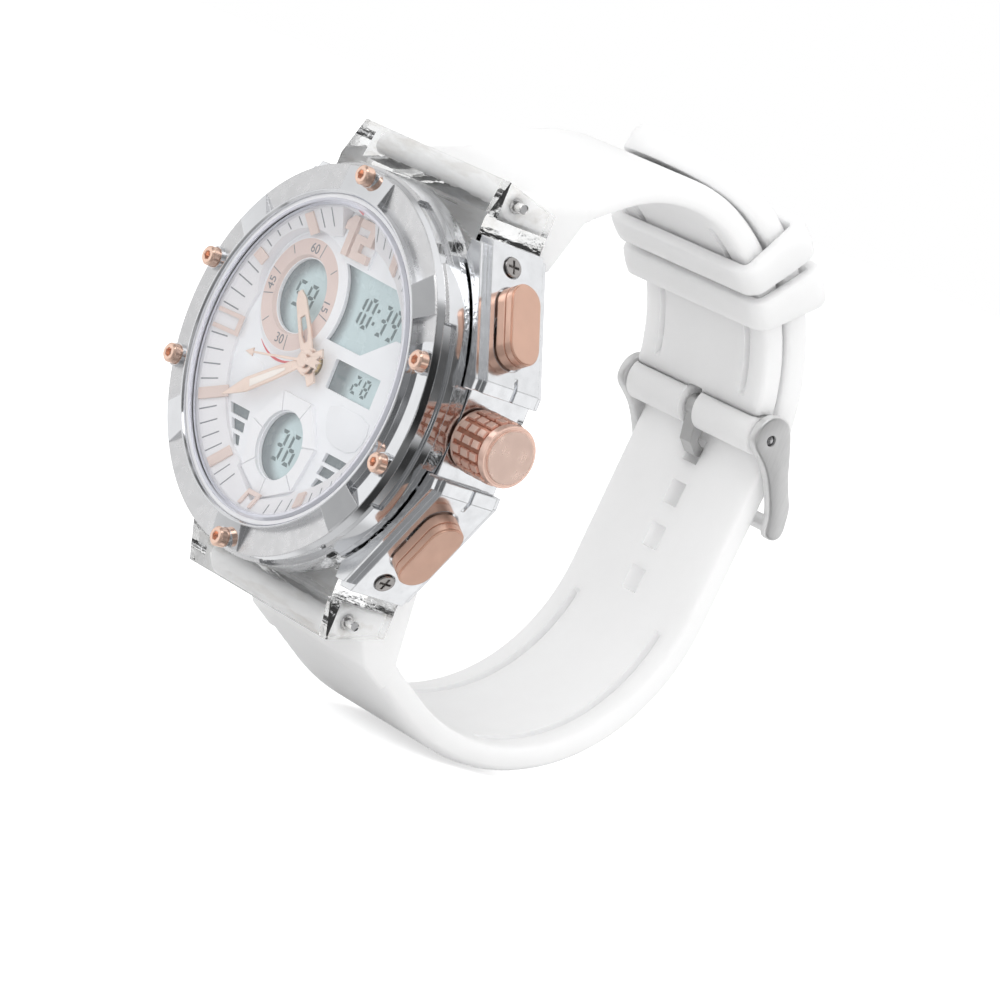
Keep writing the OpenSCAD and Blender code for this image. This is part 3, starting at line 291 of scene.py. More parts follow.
ROSE_HAND = metal("rose_gold_hand", (0.93, 0.75, 0.65), 0.27, 0.1)
ROSE_MARK = plastic("rose_marker", (0.79, 0.645, 0.59), 0.34, Metallic=0.35)
BRASS = metal("brass", (0.80, 0.62, 0.30), 0.25, 0.1)
SPRING_STEEL = metal("spring_steel", (0.6, 0.6, 0.62), 0.2, 0.1)

DIAL = plastic("dial_white", (0.90, 0.91, 0.935), 0.38)
WHITE = plastic("white_plastic", (0.90, 0.90, 0.92), 0.42)
CHAPTER = plastic("chapter_white", (0.80, 0.79, 0.81), 0.36)
HOLDER = plastic("holder_white", (0.82, 0.82, 0.80), 0.5)
BOARD = plastic("board_green", (0.03, 0.16, 0.08), 0.35)
PINK = plastic("contact_pink", (0.75, 0.42, 0.45), 0.6)
BLACK = plastic("black_rubber", (0.03, 0.03, 0.035), 0.5)
ROSE_PRINT = plastic("rose_print", (0.75, 0.60, 0.555), 0.35)
LUME = plastic("hand_filling", (0.93, 0.86, 0.80), 0.5)
INK = plastic("ink_grey", (0.20, 0.21, 0.23), 0.5)
INK_RED = plastic("ink_red", (0.72, 0.12, 0.14), 0.45)
LCD = plastic("display_grey", (0.55, 0.67, 0.69), 0.22)
LCD_INK = plastic("display_ink", (0.12, 0.17, 0.18), 0.35)
LIGHT_PLASTIC = plastic("light_guide", (0.80, 0.86, 0.82), 0.3)
# The rubber scatters every colour alike, so its shaded side stays neutral
MILKY = {"Subsurface_Radius": (1, 1, 1), "Subsurface_Weight": 1.0, "Subsurface_Scale": 0.002, "IOR": 1.41}
RUBBER_WHITE = (0.975, 0.975, 0.98)
SILICONE = plastic("silicone", RUBBER_WHITE, 0.40, 0.01, 2500, 0.000006, **MILKY)
KEEPER = plastic("keeper_silicone", RUBBER_WHITE, 0.34, 0.01, 2500, 0.000006, **MILKY)
BUCKLE_STEEL = metal("buckle_steel", (0.80, 0.80, 0.80), 0.30, 0.1, 3500, 0.000006, (1, 8, 1), share=0.8)

RIPPLE_SCALE = 260
STREAK_SCALE = 420
STREAK_TONE = (0.86, 0.845, 0.82)


def clear_material(name, colour, ior, shadow, rough, ripple=0):
    """Refracting material that lets lamp light through to what lies behind it; a ripple adds streaks."""
    m, shader = new_material(name)
    shader.inputs["Transmission Weight"].default_value = 1
    shader.inputs["IOR"].default_value = ior
    shader.inputs["Base Color"].default_value = colour
    vary_roughness(m, shader, 0.0, rough, CLEAR_SHEEN_SCALE)
    if ripple:
        grain(m, shader, RIPPLE_SCALE, ripple, (1, 1, 2.5))
        streak_noise = noise(m, STREAK_SCALE, 5.0, (0.35, 1, 1.6))
        streaks = ramp(m, streak_noise, [(0.38, STREAK_TONE), (0.47, colour)])
        link(m, streaks.outputs[0], shader.inputs["Base Color"])
    clear = node(m, "ShaderNodeBsdfTransparent", Color=shadow)
    ray = node(m, "ShaderNodeLightPath")
    either = both(m, ray.outputs["Is Shadow Ray"], ray.outputs["Is Diffuse Ray"], "MAXIMUM")
    link(m, mix_shaders(m, either, shader.outputs[0], clear.outputs[0]), output_of(m).inputs[0])
    return m


# Places on the dial that several finishes and pieces share, in millimetres (x, z)
SUB = (-6.2, 5.8)
WEEK = (0, -9.1)
DIAL_PLANE = (1, 0, 1)


def from_place(m, place, right=0, up=0):
    """Distance from a place on the dial, moved right and up by millimetres."""
    return distance_to(m, (place[0] + right, 0, place[1] + up), DIAL_PLANE)


def size_of(m, socket):
    """A distance to the left or right, or up or down, as a plain size."""
    n = node(m, "ShaderNodeMath", operation="ABSOLUTE")
    link(m, socket, n.inputs[0])
    return n.outputs[0]


# Painted shade: the display is darker towards the left edge of each window, standing in for the shadow of the
# window's wall, and behind the slots. Each shade starts or ends at places in millimetres from the window's
# middle or from the dial's.
SUB_SHADE = (3.2, 4.9)
SUB_EDGE = 4.8
MAIN_SHADE = (7.2, 8.9)
MAIN_EDGE = 5.6
MAIN_BOTTOM = 2.3
WEEK_SHADE = (3.0, 4.6)
WEEK_EDGE = 4.6
DATE_SHADE = (4.6, 7.0)
DATE_LEFT = 2.3
DATE_TOP = 2.1
SLOTS_IN = 5.5
SLOTS_TOP = -6.9
across = place_along(LCD, "X")
upward = place_along(LCD, "Z")
shade_sub = both(LCD, rises(LCD, from_place(LCD, SUB, 1.7, -0.4), *SUB_SHADE),
                 inverse(LCD, rises(LCD, from_place(LCD, SUB), SUB_EDGE)))
shade_main = both(LCD, inverse(LCD, rises(LCD, from_place(LCD, SUB), *MAIN_SHADE)),
                  rises(LCD, from_place(LCD, SUB), MAIN_EDGE))
shade_main = both(LCD, shade_main, rises(LCD, upward, MAIN_BOTTOM))
shade_week = both(LCD, rises(LCD, from_place(LCD, WEEK, 2.1, 0.2), *WEEK_SHADE),
                  inverse(LCD, rises(LCD, from_place(LCD, WEEK), WEEK_EDGE)))
shade_date = both(LCD, inverse(LCD, rises(LCD, across, *DATE_SHADE)),
                  inverse(LCD, rises(LCD, size_of(LCD, upward), DATE_TOP)))
shade_date = both(LCD, shade_date, rises(LCD, across, DATE_LEFT))
shade_slots = both(LCD, rises(LCD, size_of(LCD, across), SLOTS_IN),
                   inverse(LCD, rises(LCD, upward, SLOTS_TOP)))
shade = shade_slots
for window_shade in (shade_sub, shade_main, shade_week, shade_date):
    shade = both(LCD, shade, window_shade, "MAXIMUM")
# The painted shade's dark colour on the display
second_colour(LCD, shader_of(LCD), shade, (0.20, 0.235, 0.25))

# The seconds ring is printed rose on its flat, and its outer slope is painted white, a painted highlight
# along the raised rim
RING_PRINT = (6.03, 6.08)
painted_rim_highlight = rises(ROSE_PRINT, from_place(ROSE_PRINT, SUB), *RING_PRINT)
second_colour(ROSE_PRINT, shader_of(ROSE_PRINT), painted_rim_highlight, (0.90, 0.90, 0.92))

# Painted shade: the crown's grooves are painted darker than its studs, where shade falls between them, and
# its end is grained
CROWN_AXIS = (0, -6.7, 0)
GROOVE_RADII = (3.08, 3.16)
STUDS_END = 26.2
CROWN = metal("crown_rose_gold", (0.98, 0.68, 0.57), 0.16, 0.08, share=0.6)
groove = both(CROWN, inverse(CROWN, rises(CROWN, distance_to(CROWN, CROWN_AXIS, (0, 1, 1)), *GROOVE_RADII)),
              inverse(CROWN, rises(CROWN, place_along(CROWN, "X"), STUDS_END)))
second_colour(CROWN, shader_of(CROWN), groove, (0.55, 0.26, 0.18))
CROWN_END = metal("crown_end", (0.98, 0.73, 0.63), 0.24, 0.12, 6000, 0.00002, share=0.8)

CLEAR = clear_material("clear_resin", (0.985, 0.988, 0.988, 1), 1.49, (0.98, 0.98, 0.98, 1), 0.05, 0.00012)
GLASS = clear_material("crystal_glass", (0.985, 0.99, 0.995, 1), 1.5, (0.97, 0.97, 0.97, 1), 0.01)

# The crystal's ground edge scatters a pale violet light
GROUND_EDGE = (16.35, 16.75)
GROUND_SHARE = 0.75
edge_glass = node(GLASS, "ShaderNodeBsdfPrincipled", Roughness=0.35, IOR=1.5)
edge_glass.inputs["Base Color"].default_value = (0.80, 0.81, 0.89, 1)
edge_glass.inputs["Transmission Weight"].default_value = 0.25
glass_edge = rises(GLASS, distance_to(GLASS, (0, 0, 0), DIAL_PLANE), *GROUND_EDGE)
glass_out = output_of(GLASS).inputs[0]
glass_body = glass_out.links[0].from_socket
glass_edge = times(GLASS, glass_edge, GROUND_SHARE)
link(GLASS, mix_shaders(GLASS, glass_edge, glass_body, edge_glass.outputs[0]), glass_out)

FINISH = {
    "outer_case": CLEAR, "middle_case": CHROME_RIPPLED, "bezel": CHROME, "bezel_screws": ROSE,
    "crystal": GLASS, "crystal_gasket": WHITE, "chapter_ring": CHAPTER, "dial": DIAL,
    "seconds_ring": ROSE_PRINT, "weekday_ring": WHITE, "hour_markers": ROSE_MARK,
    "lcd_panel": LCD, "light_guide": LIGHT_PLASTIC, "contact_strips": PINK,
    "movement_holder": HOLDER, "circuit_board": BOARD, "battery": STEEL_FINE,
    "battery_clip": STEEL_FINE, "buzzer_disc": BRASS, "quartz_movement": BRASS,
    "hour_wheel": BRASS, "cannon_pinion": BRASS, "second_arbor": STEEL_FINE,
    "hour_hand": ROSE_HAND, "minute_hand": ROSE_HAND, "second_hand": ROSE_HAND,
    "case_back": STEEL, "case_back_gasket": BLACK, "case_back_screws": STEEL_FINE,
    "right_guard": CHROME_GUARD, "left_guard": CHROME_GUARD, "guard_screws": SCREW_STEEL,
    "pusher_springs": SPRING_STEEL, "pusher_seals": BLACK, "crown": CROWN, "crown_stem": STEEL_FINE,
    "crown_tube": STEEL_FINE, "crown_seal": BLACK, "setting_pinion": BRASS,
    "strap_upper": SILICONE, "strap_lower": SILICONE, "fixed_keeper": SILICONE,
    "loose_keeper": SILICONE, "spring_bar_top": STEEL_FINE, "spring_bar_bottom": STEEL_FINE,
    "bar_tip_top_right": STEEL_FINE, "bar_tip_top_left": STEEL_FINE,
    "bar_tip_bottom_right": STEEL_FINE, "bar_tip_bottom_left": STEEL_FINE,
    "buckle_frame": STEEL, "buckle_pin": STEEL_FINE, "buckle_tongue": STEEL,
}
for hour in (2, 4, 8, 10):
    FINISH[f"pusher_cap_{hour}"] = ROSE_SATIN
    FINISH[f"pusher_stem_{hour}"] = STEEL_FINE


CAD_SMOOTH = 28
MADE_SMOOTH = 35
TURNED_SMOOTH = 30


def smooth_by_angle(obj, degrees):
    """Smooth shading that stays sharp at edges steeper than the angle."""
    mesh = obj.data
    mesh.shade_smooth()
    mesh.set_sharp_from_angle(angle=math.radians(degrees))


for name, obj in nodes.items():
    obj.data.materials.clear()
    obj.data.materials.append(FINISH[name])
    smooth_by_angle(obj, CAD_SMOOTH)


# The floors of the bezel's channels are blasted. The one by the crown is polished, between two clock angles.
CROWN_CHANNEL = (68, 132)
CHANNELS_IN = 18.3 * MM
CHANNEL_SINK = 0.5 * MM
bezel_mesh = nodes["bezel"].data
bezel_mesh.materials.append(CHROME_SATIN)
bezel_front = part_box("bezel")[0][1]
for face in bezel_mesh.polygons:
    out_from_middle = math.hypot(face.center.x, face.center.z)
    clock_angle = math.degrees(math.atan2(face.center.x, face.center.z))
    polished = CROWN_CHANNEL[0] < clock_angle < CROWN_CHANNEL[1]
    recessed = out_from_middle > CHANNELS_IN and face.center.y > bezel_front + CHANNEL_SINK
    if face.normal.y < -0.5 and recessed and not polished:
        face.material_index = 1

# The crown's flat end takes the grained finish
crown_mesh = nodes["crown"].data
crown_mesh.materials.append(CROWN_END)
crown_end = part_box("crown")[1][0]
for face in crown_mesh.polygons:
    if face.normal.x > 0.99 and face.center.x > crown_end - 0.1 * MM:
        face.material_index = 1


# Building
def build(name, points, faces, material, smooth=MADE_SMOOTH):
    """A mesh object from points in metres, its faces turned outward."""
    form = bmesh.new()
    corners = [form.verts.new(p) for p in points]
    for face in faces:
        form.faces.new([corners[i] for i in face])
    bmesh.ops.recalc_face_normals(form, faces=form.faces)
    mesh = bpy.data.meshes.new(name)
    form.to_mesh(mesh)
    form.free()
    obj = bpy.data.objects.new(name, mesh)
    bpy.context.collection.objects.link(obj)
    mesh.materials.append(material)
    smooth_by_angle(obj, smooth)
    return obj


def skin(rings, closed=False):
    """Points and faces over equal rings, capped at both ends unless the rings close on themselves."""
    count = len(rings[0])
    points = [p for ring in rings for p in ring]
    faces = []
    for i in range(len(rings) if closed else len(rings) - 1):
        j = (i + 1) % len(rings)
        for k in range(count):
            m = (k + 1) % count
            faces.append((i * count + k, i * count + m, j * count + m, j * count + k))
    if not closed:
        faces.append(tuple(range(count)))
        faces.append(tuple(range((len(rings) - 1) * count, len(rings) * count)))
    return points, faces


def bake(obj):
    """Turns an object's modifiers into its mesh."""
    graph = bpy.context.evaluated_depsgraph_get()
    mesh = bpy.data.meshes.new_from_object(obj.evaluated_get(graph))
    old = obj.data
    obj.modifiers.clear()
    obj.data = mesh
    bpy.data.meshes.remove(old)
    smooth_by_angle(obj, MADE_SMOOTH)


def combine(obj, tool, operation):
    """Joins a tool to an object, or cuts it out, and removes the tool."""
    step = obj.modifiers.new("combine", "BOOLEAN")
    step.operation = operation
    step.object = tool
    step.solver = "EXACT"
    bake(obj)
    bpy.data.objects.remove(tool)


def soften(obj, width, segments=3, angle=30):
    """Rounds an object's edges by a width in millimetres."""
    step = obj.modifiers.new("soften", "BEVEL")
    step.width = width * MM
    step.segments = segments
    step.limit_method = "ANGLE"
    step.angle_limit = math.radians(angle)
    bake(obj)


def side_prism(name, outline, x0, x1, material):
    """A prism across the watch, from an outline of (y, z) places."""
    rings = [[frame_point(x, y, z) for y, z in outline] for x in (x0, x1)]
    return build(name, *skin(rings), material)


def case_prism(name, outlines, z0, z1, material):
    """Prisms standing on the dial, from outlines of (x, y) places in the lying case."""
    points = []
    faces = []
    for outline in outlines:
        more_points, more_faces = skin([[case_point(x, y, z) for x, y in outline] for z in (z0, z1)])
        faces += [tuple(i + len(points) for i in face) for face in more_faces]
        points += more_points
    return build(name, points, faces, material)


ROD_SIDES = 48
TURNED_SIDES = 40


def round_prism(name, centre, radius, x0, x1, material):
    """A rod across the watch."""
    outline = []
    for i in range(ROD_SIDES):
        a = TURN * i / ROD_SIDES
        outline.append((centre[0] + radius * math.cos(a), centre[1] + radius * math.sin(a)))
    return side_prism(name, outline, x0, x1, material)


# Strap, in millimetres, along a path in the side view (y from the dial to the wrist, z to 12 o'clock). Each
# bend is an arc with its centre, the radius of the strap's inner face and angles in degrees.
STRAP_HALF = 10.8
STRAP_THICK = 3.0
BEND = (16, 7.4)
BEND_IN = 22
BEND_OUT = 25.3
ROLL_START = 3
OVER_START = 70
OVER_END = 123
OVER_IN = 16
OVER_TURN = math.radians(OVER_START)
OVER_SHIFT = BEND_IN - OVER_IN
OVER = (BEND[0] + OVER_SHIFT * math.cos(OVER_TURN), BEND[1] + OVER_SHIFT * math.sin(OVER_TURN))
UNDER = (19.3, -10.8)
UNDER_IN = 20.7
UNDER_START = -119
TAIL_END = 84
PIN_Y = -5.1
PIN_Z = 23
PIN_BORE = 0.8
BUCKLE_BORE = 0.85
EYE = 1.7
HEAD_HALF = STRAP_HALF - 0.02
HEAD_SOFT = 0.35
BUCKLE_TURN = math.radians(4)
BUCKLE_RADIUS = 23.6
BUCKLE = (BEND[0] + BUCKLE_RADIUS * math.cos(BUCKLE_TURN), BEND[1] + BUCKLE_RADIUS * math.sin(BUCKLE_TURN))
BEND_GAP = math.hypot(BEND[0] - UNDER[0], BEND[1] - UNDER[1])
JOIN = math.atan2(BEND[1] - UNDER[1], BEND[0] - UNDER[0]) - math.acos((UNDER_IN - BEND_OUT) / BEND_GAP)
HOLE_PITCH = 5.2
USED_HOLE = -1.2
BORE_REACH = 15
GROOVE_DEEP = 1.1
CHANNEL_DEEP = 0.32
# Where grooves and channels lie along the bends, in degrees, and how softly they begin
BEND_GROOVES = (14, 68)
UNDER_GROOVES = (-85, -12)
CHANNELS_FROM = -70
NO_END = 400
GROOVE_SOFT = 1.2
CHANNEL_SOFT = 6


def along(centre, radius, turn):
    """A place on an arc and the outward direction there; the turn is in radians."""
    n = (math.cos(turn), math.sin(turn))
    return centre[0] + radius * n[0], centre[1] + radius * n[1], n[0], n[1]


def fade(value, low, high, soft):
    """1 between low and high, falling to 0 over a soft length outside."""
    return max(0.0, min(1.0, (value - low) / soft, (high - value) / soft))


def strap_ring(place, half, groove, channel):
    """One section of the strap: rounded edges, two narrow grooves inside, two broad channels outside."""
    y, z, ny, nz = place
    g = GROOVE_DEEP * groove
    c = CHANNEL_DEEP * channel
    side = [
        (0, 0), (2.5, 0), (5, 0), (7.0, 0), (7.08, g), (7.5, g), (7.92, g), (8.0, 0), (9.6, 0), (10.2, 0.02),
        (10.5, 0.1), (10.7, 0.24), (10.8, 0.5), (10.8, 1.2), (10.8, 2.0), (10.72, 2.25), (10.5, 2.5),
        (10.2, 2.72), (9.8, 2.9), (9.3, 2.98), (8.6, 3.0), (7.4, 3.0), (6.9, 3.0 - c), (5.2, 3.0 - c),
        (3.5, 3.0 - c), (3.0, 3.0), (1.5, 3.0), (0, 3.0),
    ]
    across = side + [(-x, depth) for x, depth in reversed(side[1:-1])]
    scale = half / STRAP_HALF
    return [frame_point(x * scale, y + depth * ny, z + depth * nz) for x, depth in across]


def head_outline(side, line):
    """Side view of a strap's head: the eye round the pin, the lump behind the case, and the given line."""
    eye = []
    for i in range(13):
        a = math.radians(90 + 15 * i)
        eye.append((PIN_Y + EYE * math.cos(a), PIN_Z + EYE * math.sin(a)))
    lump = [(-0.5, PIN_Z - EYE), (0.35, 17.6), (2.95, 17.6)]
    return [(y, side * z) for y, z in eye + lump] + line + [(-1.5, side * (PIN_Z + EYE))]


def back_by(place, run, distance):
    """A place moved back along the strap's straight part."""
    return place[0] - distance * run[0], place[1] - distance * run[1]


def straight_ring(place, run, distance):
    """A plain section of the strap, moved back along its straight part."""
    return strap_ring((*back_by(place, run, distance), *place[2:]), STRAP_HALF, 0, 0)


def bore_through(obj, centre, radius):
    """A round bore across the whole strap."""
    combine(obj, round_prism("bore", centre, radius, -BORE_REACH, BORE_REACH, SILICONE), "DIFFERENCE")


def hole_place(k):
    """Middle of the strap's inner face at a hole, and the outward direction."""
    s = USED_HOLE + k * HOLE_PITCH
    if s < 0:
        y, z, ny, nz = along(BEND, BEND_OUT, JOIN)
        return y - s * nz, z + s * ny, ny, nz
    return along(BEND, BEND_OUT, JOIN + s / (BEND_OUT + STRAP_THICK / 2))


def box_tool(name, place, half_x, low, high, half_len):
    """A block standing on a strap face, for cutting: low and high are depths along the outward direction."""
    y, z, ny, nz = place
    outline = []
    for depth, run in ((low, -half_len), (high, -half_len), (high, half_len), (low, half_len)):
        outline.append((y + depth * ny - run * nz, z + depth * nz + run * ny))
    return side_prism(name, outline, -half_x, half_x, SILICONE)


# Upper half: roll round the buckle's pin, back bend, bend over the wrist, short straight, head
over_end = math.radians(OVER_END)
start = along(OVER, OVER_IN, over_end)
out = along(OVER, OVER_IN + STRAP_THICK, over_end)
run_dir = (math.sin(over_end), -math.cos(over_end))
rings = []
BACK_STEPS = 34
OVER_STEPS = 26
for i in range(BACK_STEPS + 1):
    turn = math.radians(ROLL_START + (OVER_START - ROLL_START) * i / BACK_STEPS)
    groove = fade(math.degrees(turn), *BEND_GROOVES, GROOVE_SOFT)
    rings.append(strap_ring(along(BEND, BEND_IN, turn), STRAP_HALF, groove, 0))
for i in range(1, OVER_STEPS + 1):
    turn = math.radians(OVER_START + (OVER_END - OVER_START) * i / OVER_STEPS)
    rings.append(strap_ring(along(OVER, OVER_IN, turn), STRAP_HALF, 0, 0))
rings.append(straight_ring(start, run_dir, 4.6))
strap_upper = build("strap_upper_soft", *skin(rings), SILICONE)
head_line = [
    back_by(start, run_dir, 5), back_by(start, run_dir, 4),
    back_by(out, run_dir, 4), back_by(out, run_dir, 5),
]
head = side_prism("head_upper", head_outline(1, head_line), -HEAD_HALF, HEAD_HALF, SILICONE)
soften(head, HEAD_SOFT)
combine(strap_upper, head, "UNION")

ROLL_MIDDLE = (-0.32, 0.15)
ROLL_HALF = (1.92, 2.35)
ROLL_SIDE = STRAP_HALF + 0.05
SLOT_DOWN = 0.8
roll_outline = []
for i in range(ROD_SIDES):
    a = TURN * i / ROD_SIDES
    out_by = ROLL_MIDDLE[0] + ROLL_HALF[0] * math.cos(a)
    run_by = ROLL_MIDDLE[1] + ROLL_HALF[1] * math.sin(a)
    roll_outline.append((
        BUCKLE[0] + out_by * math.cos(BUCKLE_TURN) - run_by * math.sin(BUCKLE_TURN),
        BUCKLE[1] + out_by * math.sin(BUCKLE_TURN) + run_by * math.cos(BUCKLE_TURN),
    ))
roll = side_prism("roll", roll_outline, -ROLL_SIDE, ROLL_SIDE, SILICONE)
soften(roll, 0.4)
combine(strap_upper, roll, "UNION")
slot = box_tool("slot", along(BEND, BEND_IN, BUCKLE_TURN), half_x=1.25, low=-3, high=6, half_len=3)
for corner in slot.data.vertices:
    corner.co.z -= SLOT_DOWN * MM
soften(slot, 0.3)
combine(strap_upper, slot, "DIFFERENCE")
bore_through(strap_upper, BUCKLE, BUCKLE_BORE)
bore_through(strap_upper, (PIN_Y, PIN_Z), PIN_BORE)
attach(strap_upper, "head")
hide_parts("strap_upper")

# Lower half: head, straight, bend under the wrist, straight with the used hole, back bend, round tail
under_start = math.radians(UNDER_START)
start = along(UNDER, UNDER_IN, under_start)
out = along(UNDER, UNDER_IN + STRAP_THICK, under_start)
run_dir = (-math.sin(under_start), math.cos(under_start))
rings = [straight_ring(start, run_dir, 5.6)]
UNDER_STEPS = 60
TAIL_STEPS = 69
TAIL_CROWDING = 0.8
TAIL_CHANNELS = 9
TAIL_SOFT = 4
TIP_LEAST = 0.3
for i in range(UNDER_STEPS + 1):
    turn = under_start + (JOIN - under_start) * i / UNDER_STEPS
    degrees = math.degrees(turn)
    groove = fade(degrees, *UNDER_GROOVES, GROOVE_SOFT)
    channel = fade(degrees, CHANNELS_FROM, NO_END, CHANNEL_SOFT)
    rings.append(strap_ring(along(UNDER, UNDER_IN, turn), STRAP_HALF, groove, channel))
tail_arc = BEND_OUT + STRAP_THICK / 2
tail = math.radians(TAIL_END)
for i in range(TAIL_STEPS + 1):
    turn = JOIN + (tail - JOIN) * (i / TAIL_STEPS) ** TAIL_CROWDING
    left = (tail - turn) * tail_arc
    half = STRAP_HALF
    if left < STRAP_HALF:
        half = math.sqrt(max(TIP_LEAST, STRAP_HALF ** 2 - (STRAP_HALF - left) ** 2))
    channel = fade(left, TAIL_CHANNELS, NO_END, TAIL_SOFT)
    rings.append(strap_ring(along(BEND, BEND_OUT, turn), half, 0, channel))
strap_lower = build("strap_lower_soft", *skin(rings), SILICONE)
head_line = [
    back_by(start, run_dir, 6), back_by(start, run_dir, 5),
    back_by(out, run_dir, 5), back_by(out, run_dir, 9),
]
head = side_prism("head_lower", head_outline(-1, head_line), -HEAD_HALF, HEAD_HALF, SILICONE)
soften(head, HEAD_SOFT)
combine(strap_lower, head, "UNION")
bore_through(strap_lower, (PIN_Y, -PIN_Z), PIN_BORE)
for k in range(-3, 4):
    hole = box_tool("hole", hole_place(k), half_x=1.2, low=-1, high=5, half_len=1.4)
    combine(strap_lower, hole, "DIFFERENCE")
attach(strap_lower, "head")
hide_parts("strap_lower")


# Keepers: a crowned band swept round both layers of the strap, with radii from the middle of the bend
KEEPER_LOW = 21.7
KEEPER_HIGH = 28.6
KEEPER_HALF = 11.1
KEEPER_CORNER = 0.5
KEEPER_SECTION = [
    (-2.3, 0.35), (-2.2, 0.1), (-1.9, 0.0), (0, 0.0), (1.9, 0.0), (2.2, 0.1), (2.3, 0.35), (2.3, 1.0),
    (2.18, 1.3), (1.9, 1.46), (1.0, 1.56), (0, 1.6), (-1.0, 1.56), (-1.9, 1.46), (-2.18, 1.3), (-2.3, 1.0),
]


def keeper_path():
    """Places round the strap's section, each with its outward direction."""
    high = KEEPER_HIGH - KEEPER_CORNER
    low = KEEPER_LOW + KEEPER_CORNER
    side = KEEPER_HALF - KEEPER_CORNER
    path = []
    for r, x, first in ((high, side, 0), (low, side, 90), (low, -side, 180), (high, -side, 270)):
        for i in range(6):
            c = math.cos(math.radians(first + 18 * i))
            s = math.sin(math.radians(first + 18 * i))
            path.append((r + KEEPER_CORNER * c, x + KEEPER_CORNER * s, c, s))
    return path


def keeper_band(name, angle, body, node_name):
    """A keeper's band at an angle of the bend, in degrees, in place of the solid's."""
    bands = []
    for r, x, nr, nx in keeper_path():
        ring = []
        for run, thick in KEEPER_SECTION:
            turn = math.radians(angle) + run / KEEPER_HIGH
            radius = r + nr * thick
            y = BEND[0] + radius * math.cos(turn)
            z = BEND[1] + radius * math.sin(turn)
            ring.append(frame_point(x + nx * thick, y, z))
        bands.append(ring)
    band = build(name, *skin(bands, closed=True), KEEPER)
    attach(band, body)
    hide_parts(node_name)


keeper_band("fixed_keeper_soft", 41, "head", "fixed_keeper")
keeper_band("loose_keeper_soft", 53, "keeper", "loose_keeper")

# Buckle: two shaped plates with softened edges and a bar between them
PLATE_IN = 11.3
PLATE_OUT = 12.5
PIN_HEAD_DEEP = 0.3
PIN_HEAD_BORE = 0.62
BAR = (45.25, 0.2)
BAR_RADIUS = 0.9
BAR_HALF = 11.5


def smooth_outline(corners, rounds=3):
    """Cuts the corners of a closed outline again and again, which leaves a soft curve."""
    for _ in range(rounds):
        cut = []
        for i, (y, z) in enumerate(corners):
            y2, z2 = corners[(i + 1) % len(corners)]
            cut.append((0.75 * y + 0.25 * y2, 0.75 * z + 0.25 * z2))
            cut.append((0.25 * y + 0.75 * y2, 0.25 * z + 0.75 * z2))
        corners = cut
    return corners


def lathe_across(name, centre, profile, material):
    """A turned piece about a line across the watch; the profile is (x, radius) pairs."""
    rings = []
    for x, radius in profile:
        ring = []
        for i in range(TURNED_SIDES):
            a = TURN * i / TURNED_SIDES
            ring.append(frame_point(x, centre[0] + radius * math.cos(a), centre[1] + radius * math.sin(a)))
        rings.append(ring)
    return build(name, *skin(rings), material, TURNED_SMOOTH)


plate_outline = smooth_outline([
    (37.35, 9.9), (37.9, 11.0), (38.9, 11.75), (40.2, 11.85), (41.3, 11.4), (42.1, 10.3), (43.2, 8.0),
    (44.1, 5.9), (45.3, 3.9), (46.0, 2.9), (46.35, 1.2), (46.5, -0.3), (45.9, -1.1), (44.9, -1.25),
    (44.1, -0.9), (43.9, 0.2), (43.6, 1.3), (42.9, 2.6), (42.1, 3.8), (41.3, 4.9), (40.2, 6.1),
    (38.9, 7.0), (37.8, 7.7), (37.25, 8.6),
], 2)
buckle = None
for side in (1, -1):
    plate = side_prism("plate", plate_outline, side * PLATE_IN, side * PLATE_OUT, BUCKLE_STEEL)
    soften(plate, 0.28, segments=4, angle=40)
    for radius, end in ((PIN_HEAD_BORE, PLATE_OUT + 1.5), (BUCKLE_BORE, PLATE_OUT - PIN_HEAD_DEEP)):
        bore = round_prism("bore", BUCKLE, radius, side * 10, side * end, BUCKLE_STEEL)
        combine(plate, bore, "DIFFERENCE")
    if buckle is None:
        buckle = plate
        buckle.name = "buckle_plates"
    else:
        combine(buckle, plate, "UNION")
bar = lathe_across("bar", BAR, [(-BAR_HALF, BAR_RADIUS), (BAR_HALF, BAR_RADIUS)], BUCKLE_STEEL)
combine(buckle, bar, "UNION")
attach(buckle, "buckle")
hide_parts("buckle_frame")
pin = lathe_across("buckle_pin_turned", BUCKLE, [
    (-12.42, 0.25), (-12.38, 0.36), (-12.1, 0.36), (-12.08, 0.8), (12.08, 0.8), (12.1, 0.36), (12.38, 0.36),
    (12.42, 0.25),
], STEEL_FINE)
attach(pin, "buckle")
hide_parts("buckle_pin")


# Printed dial: heights above the case back and radii of its levels, in millimetres
DIAL_TOP = 11.6
CHAPTER_LOW = 12.0
CHAPTER_HIGH = 13.3
CHAPTER_R = 13.6
CHAPTER_OUT = 16.85 - 0.5
SLOPE = (CHAPTER_HIGH - CHAPTER_LOW) / (CHAPTER_OUT - CHAPTER_R)
LCD_TOP = 11.15
LIFT = 0.003


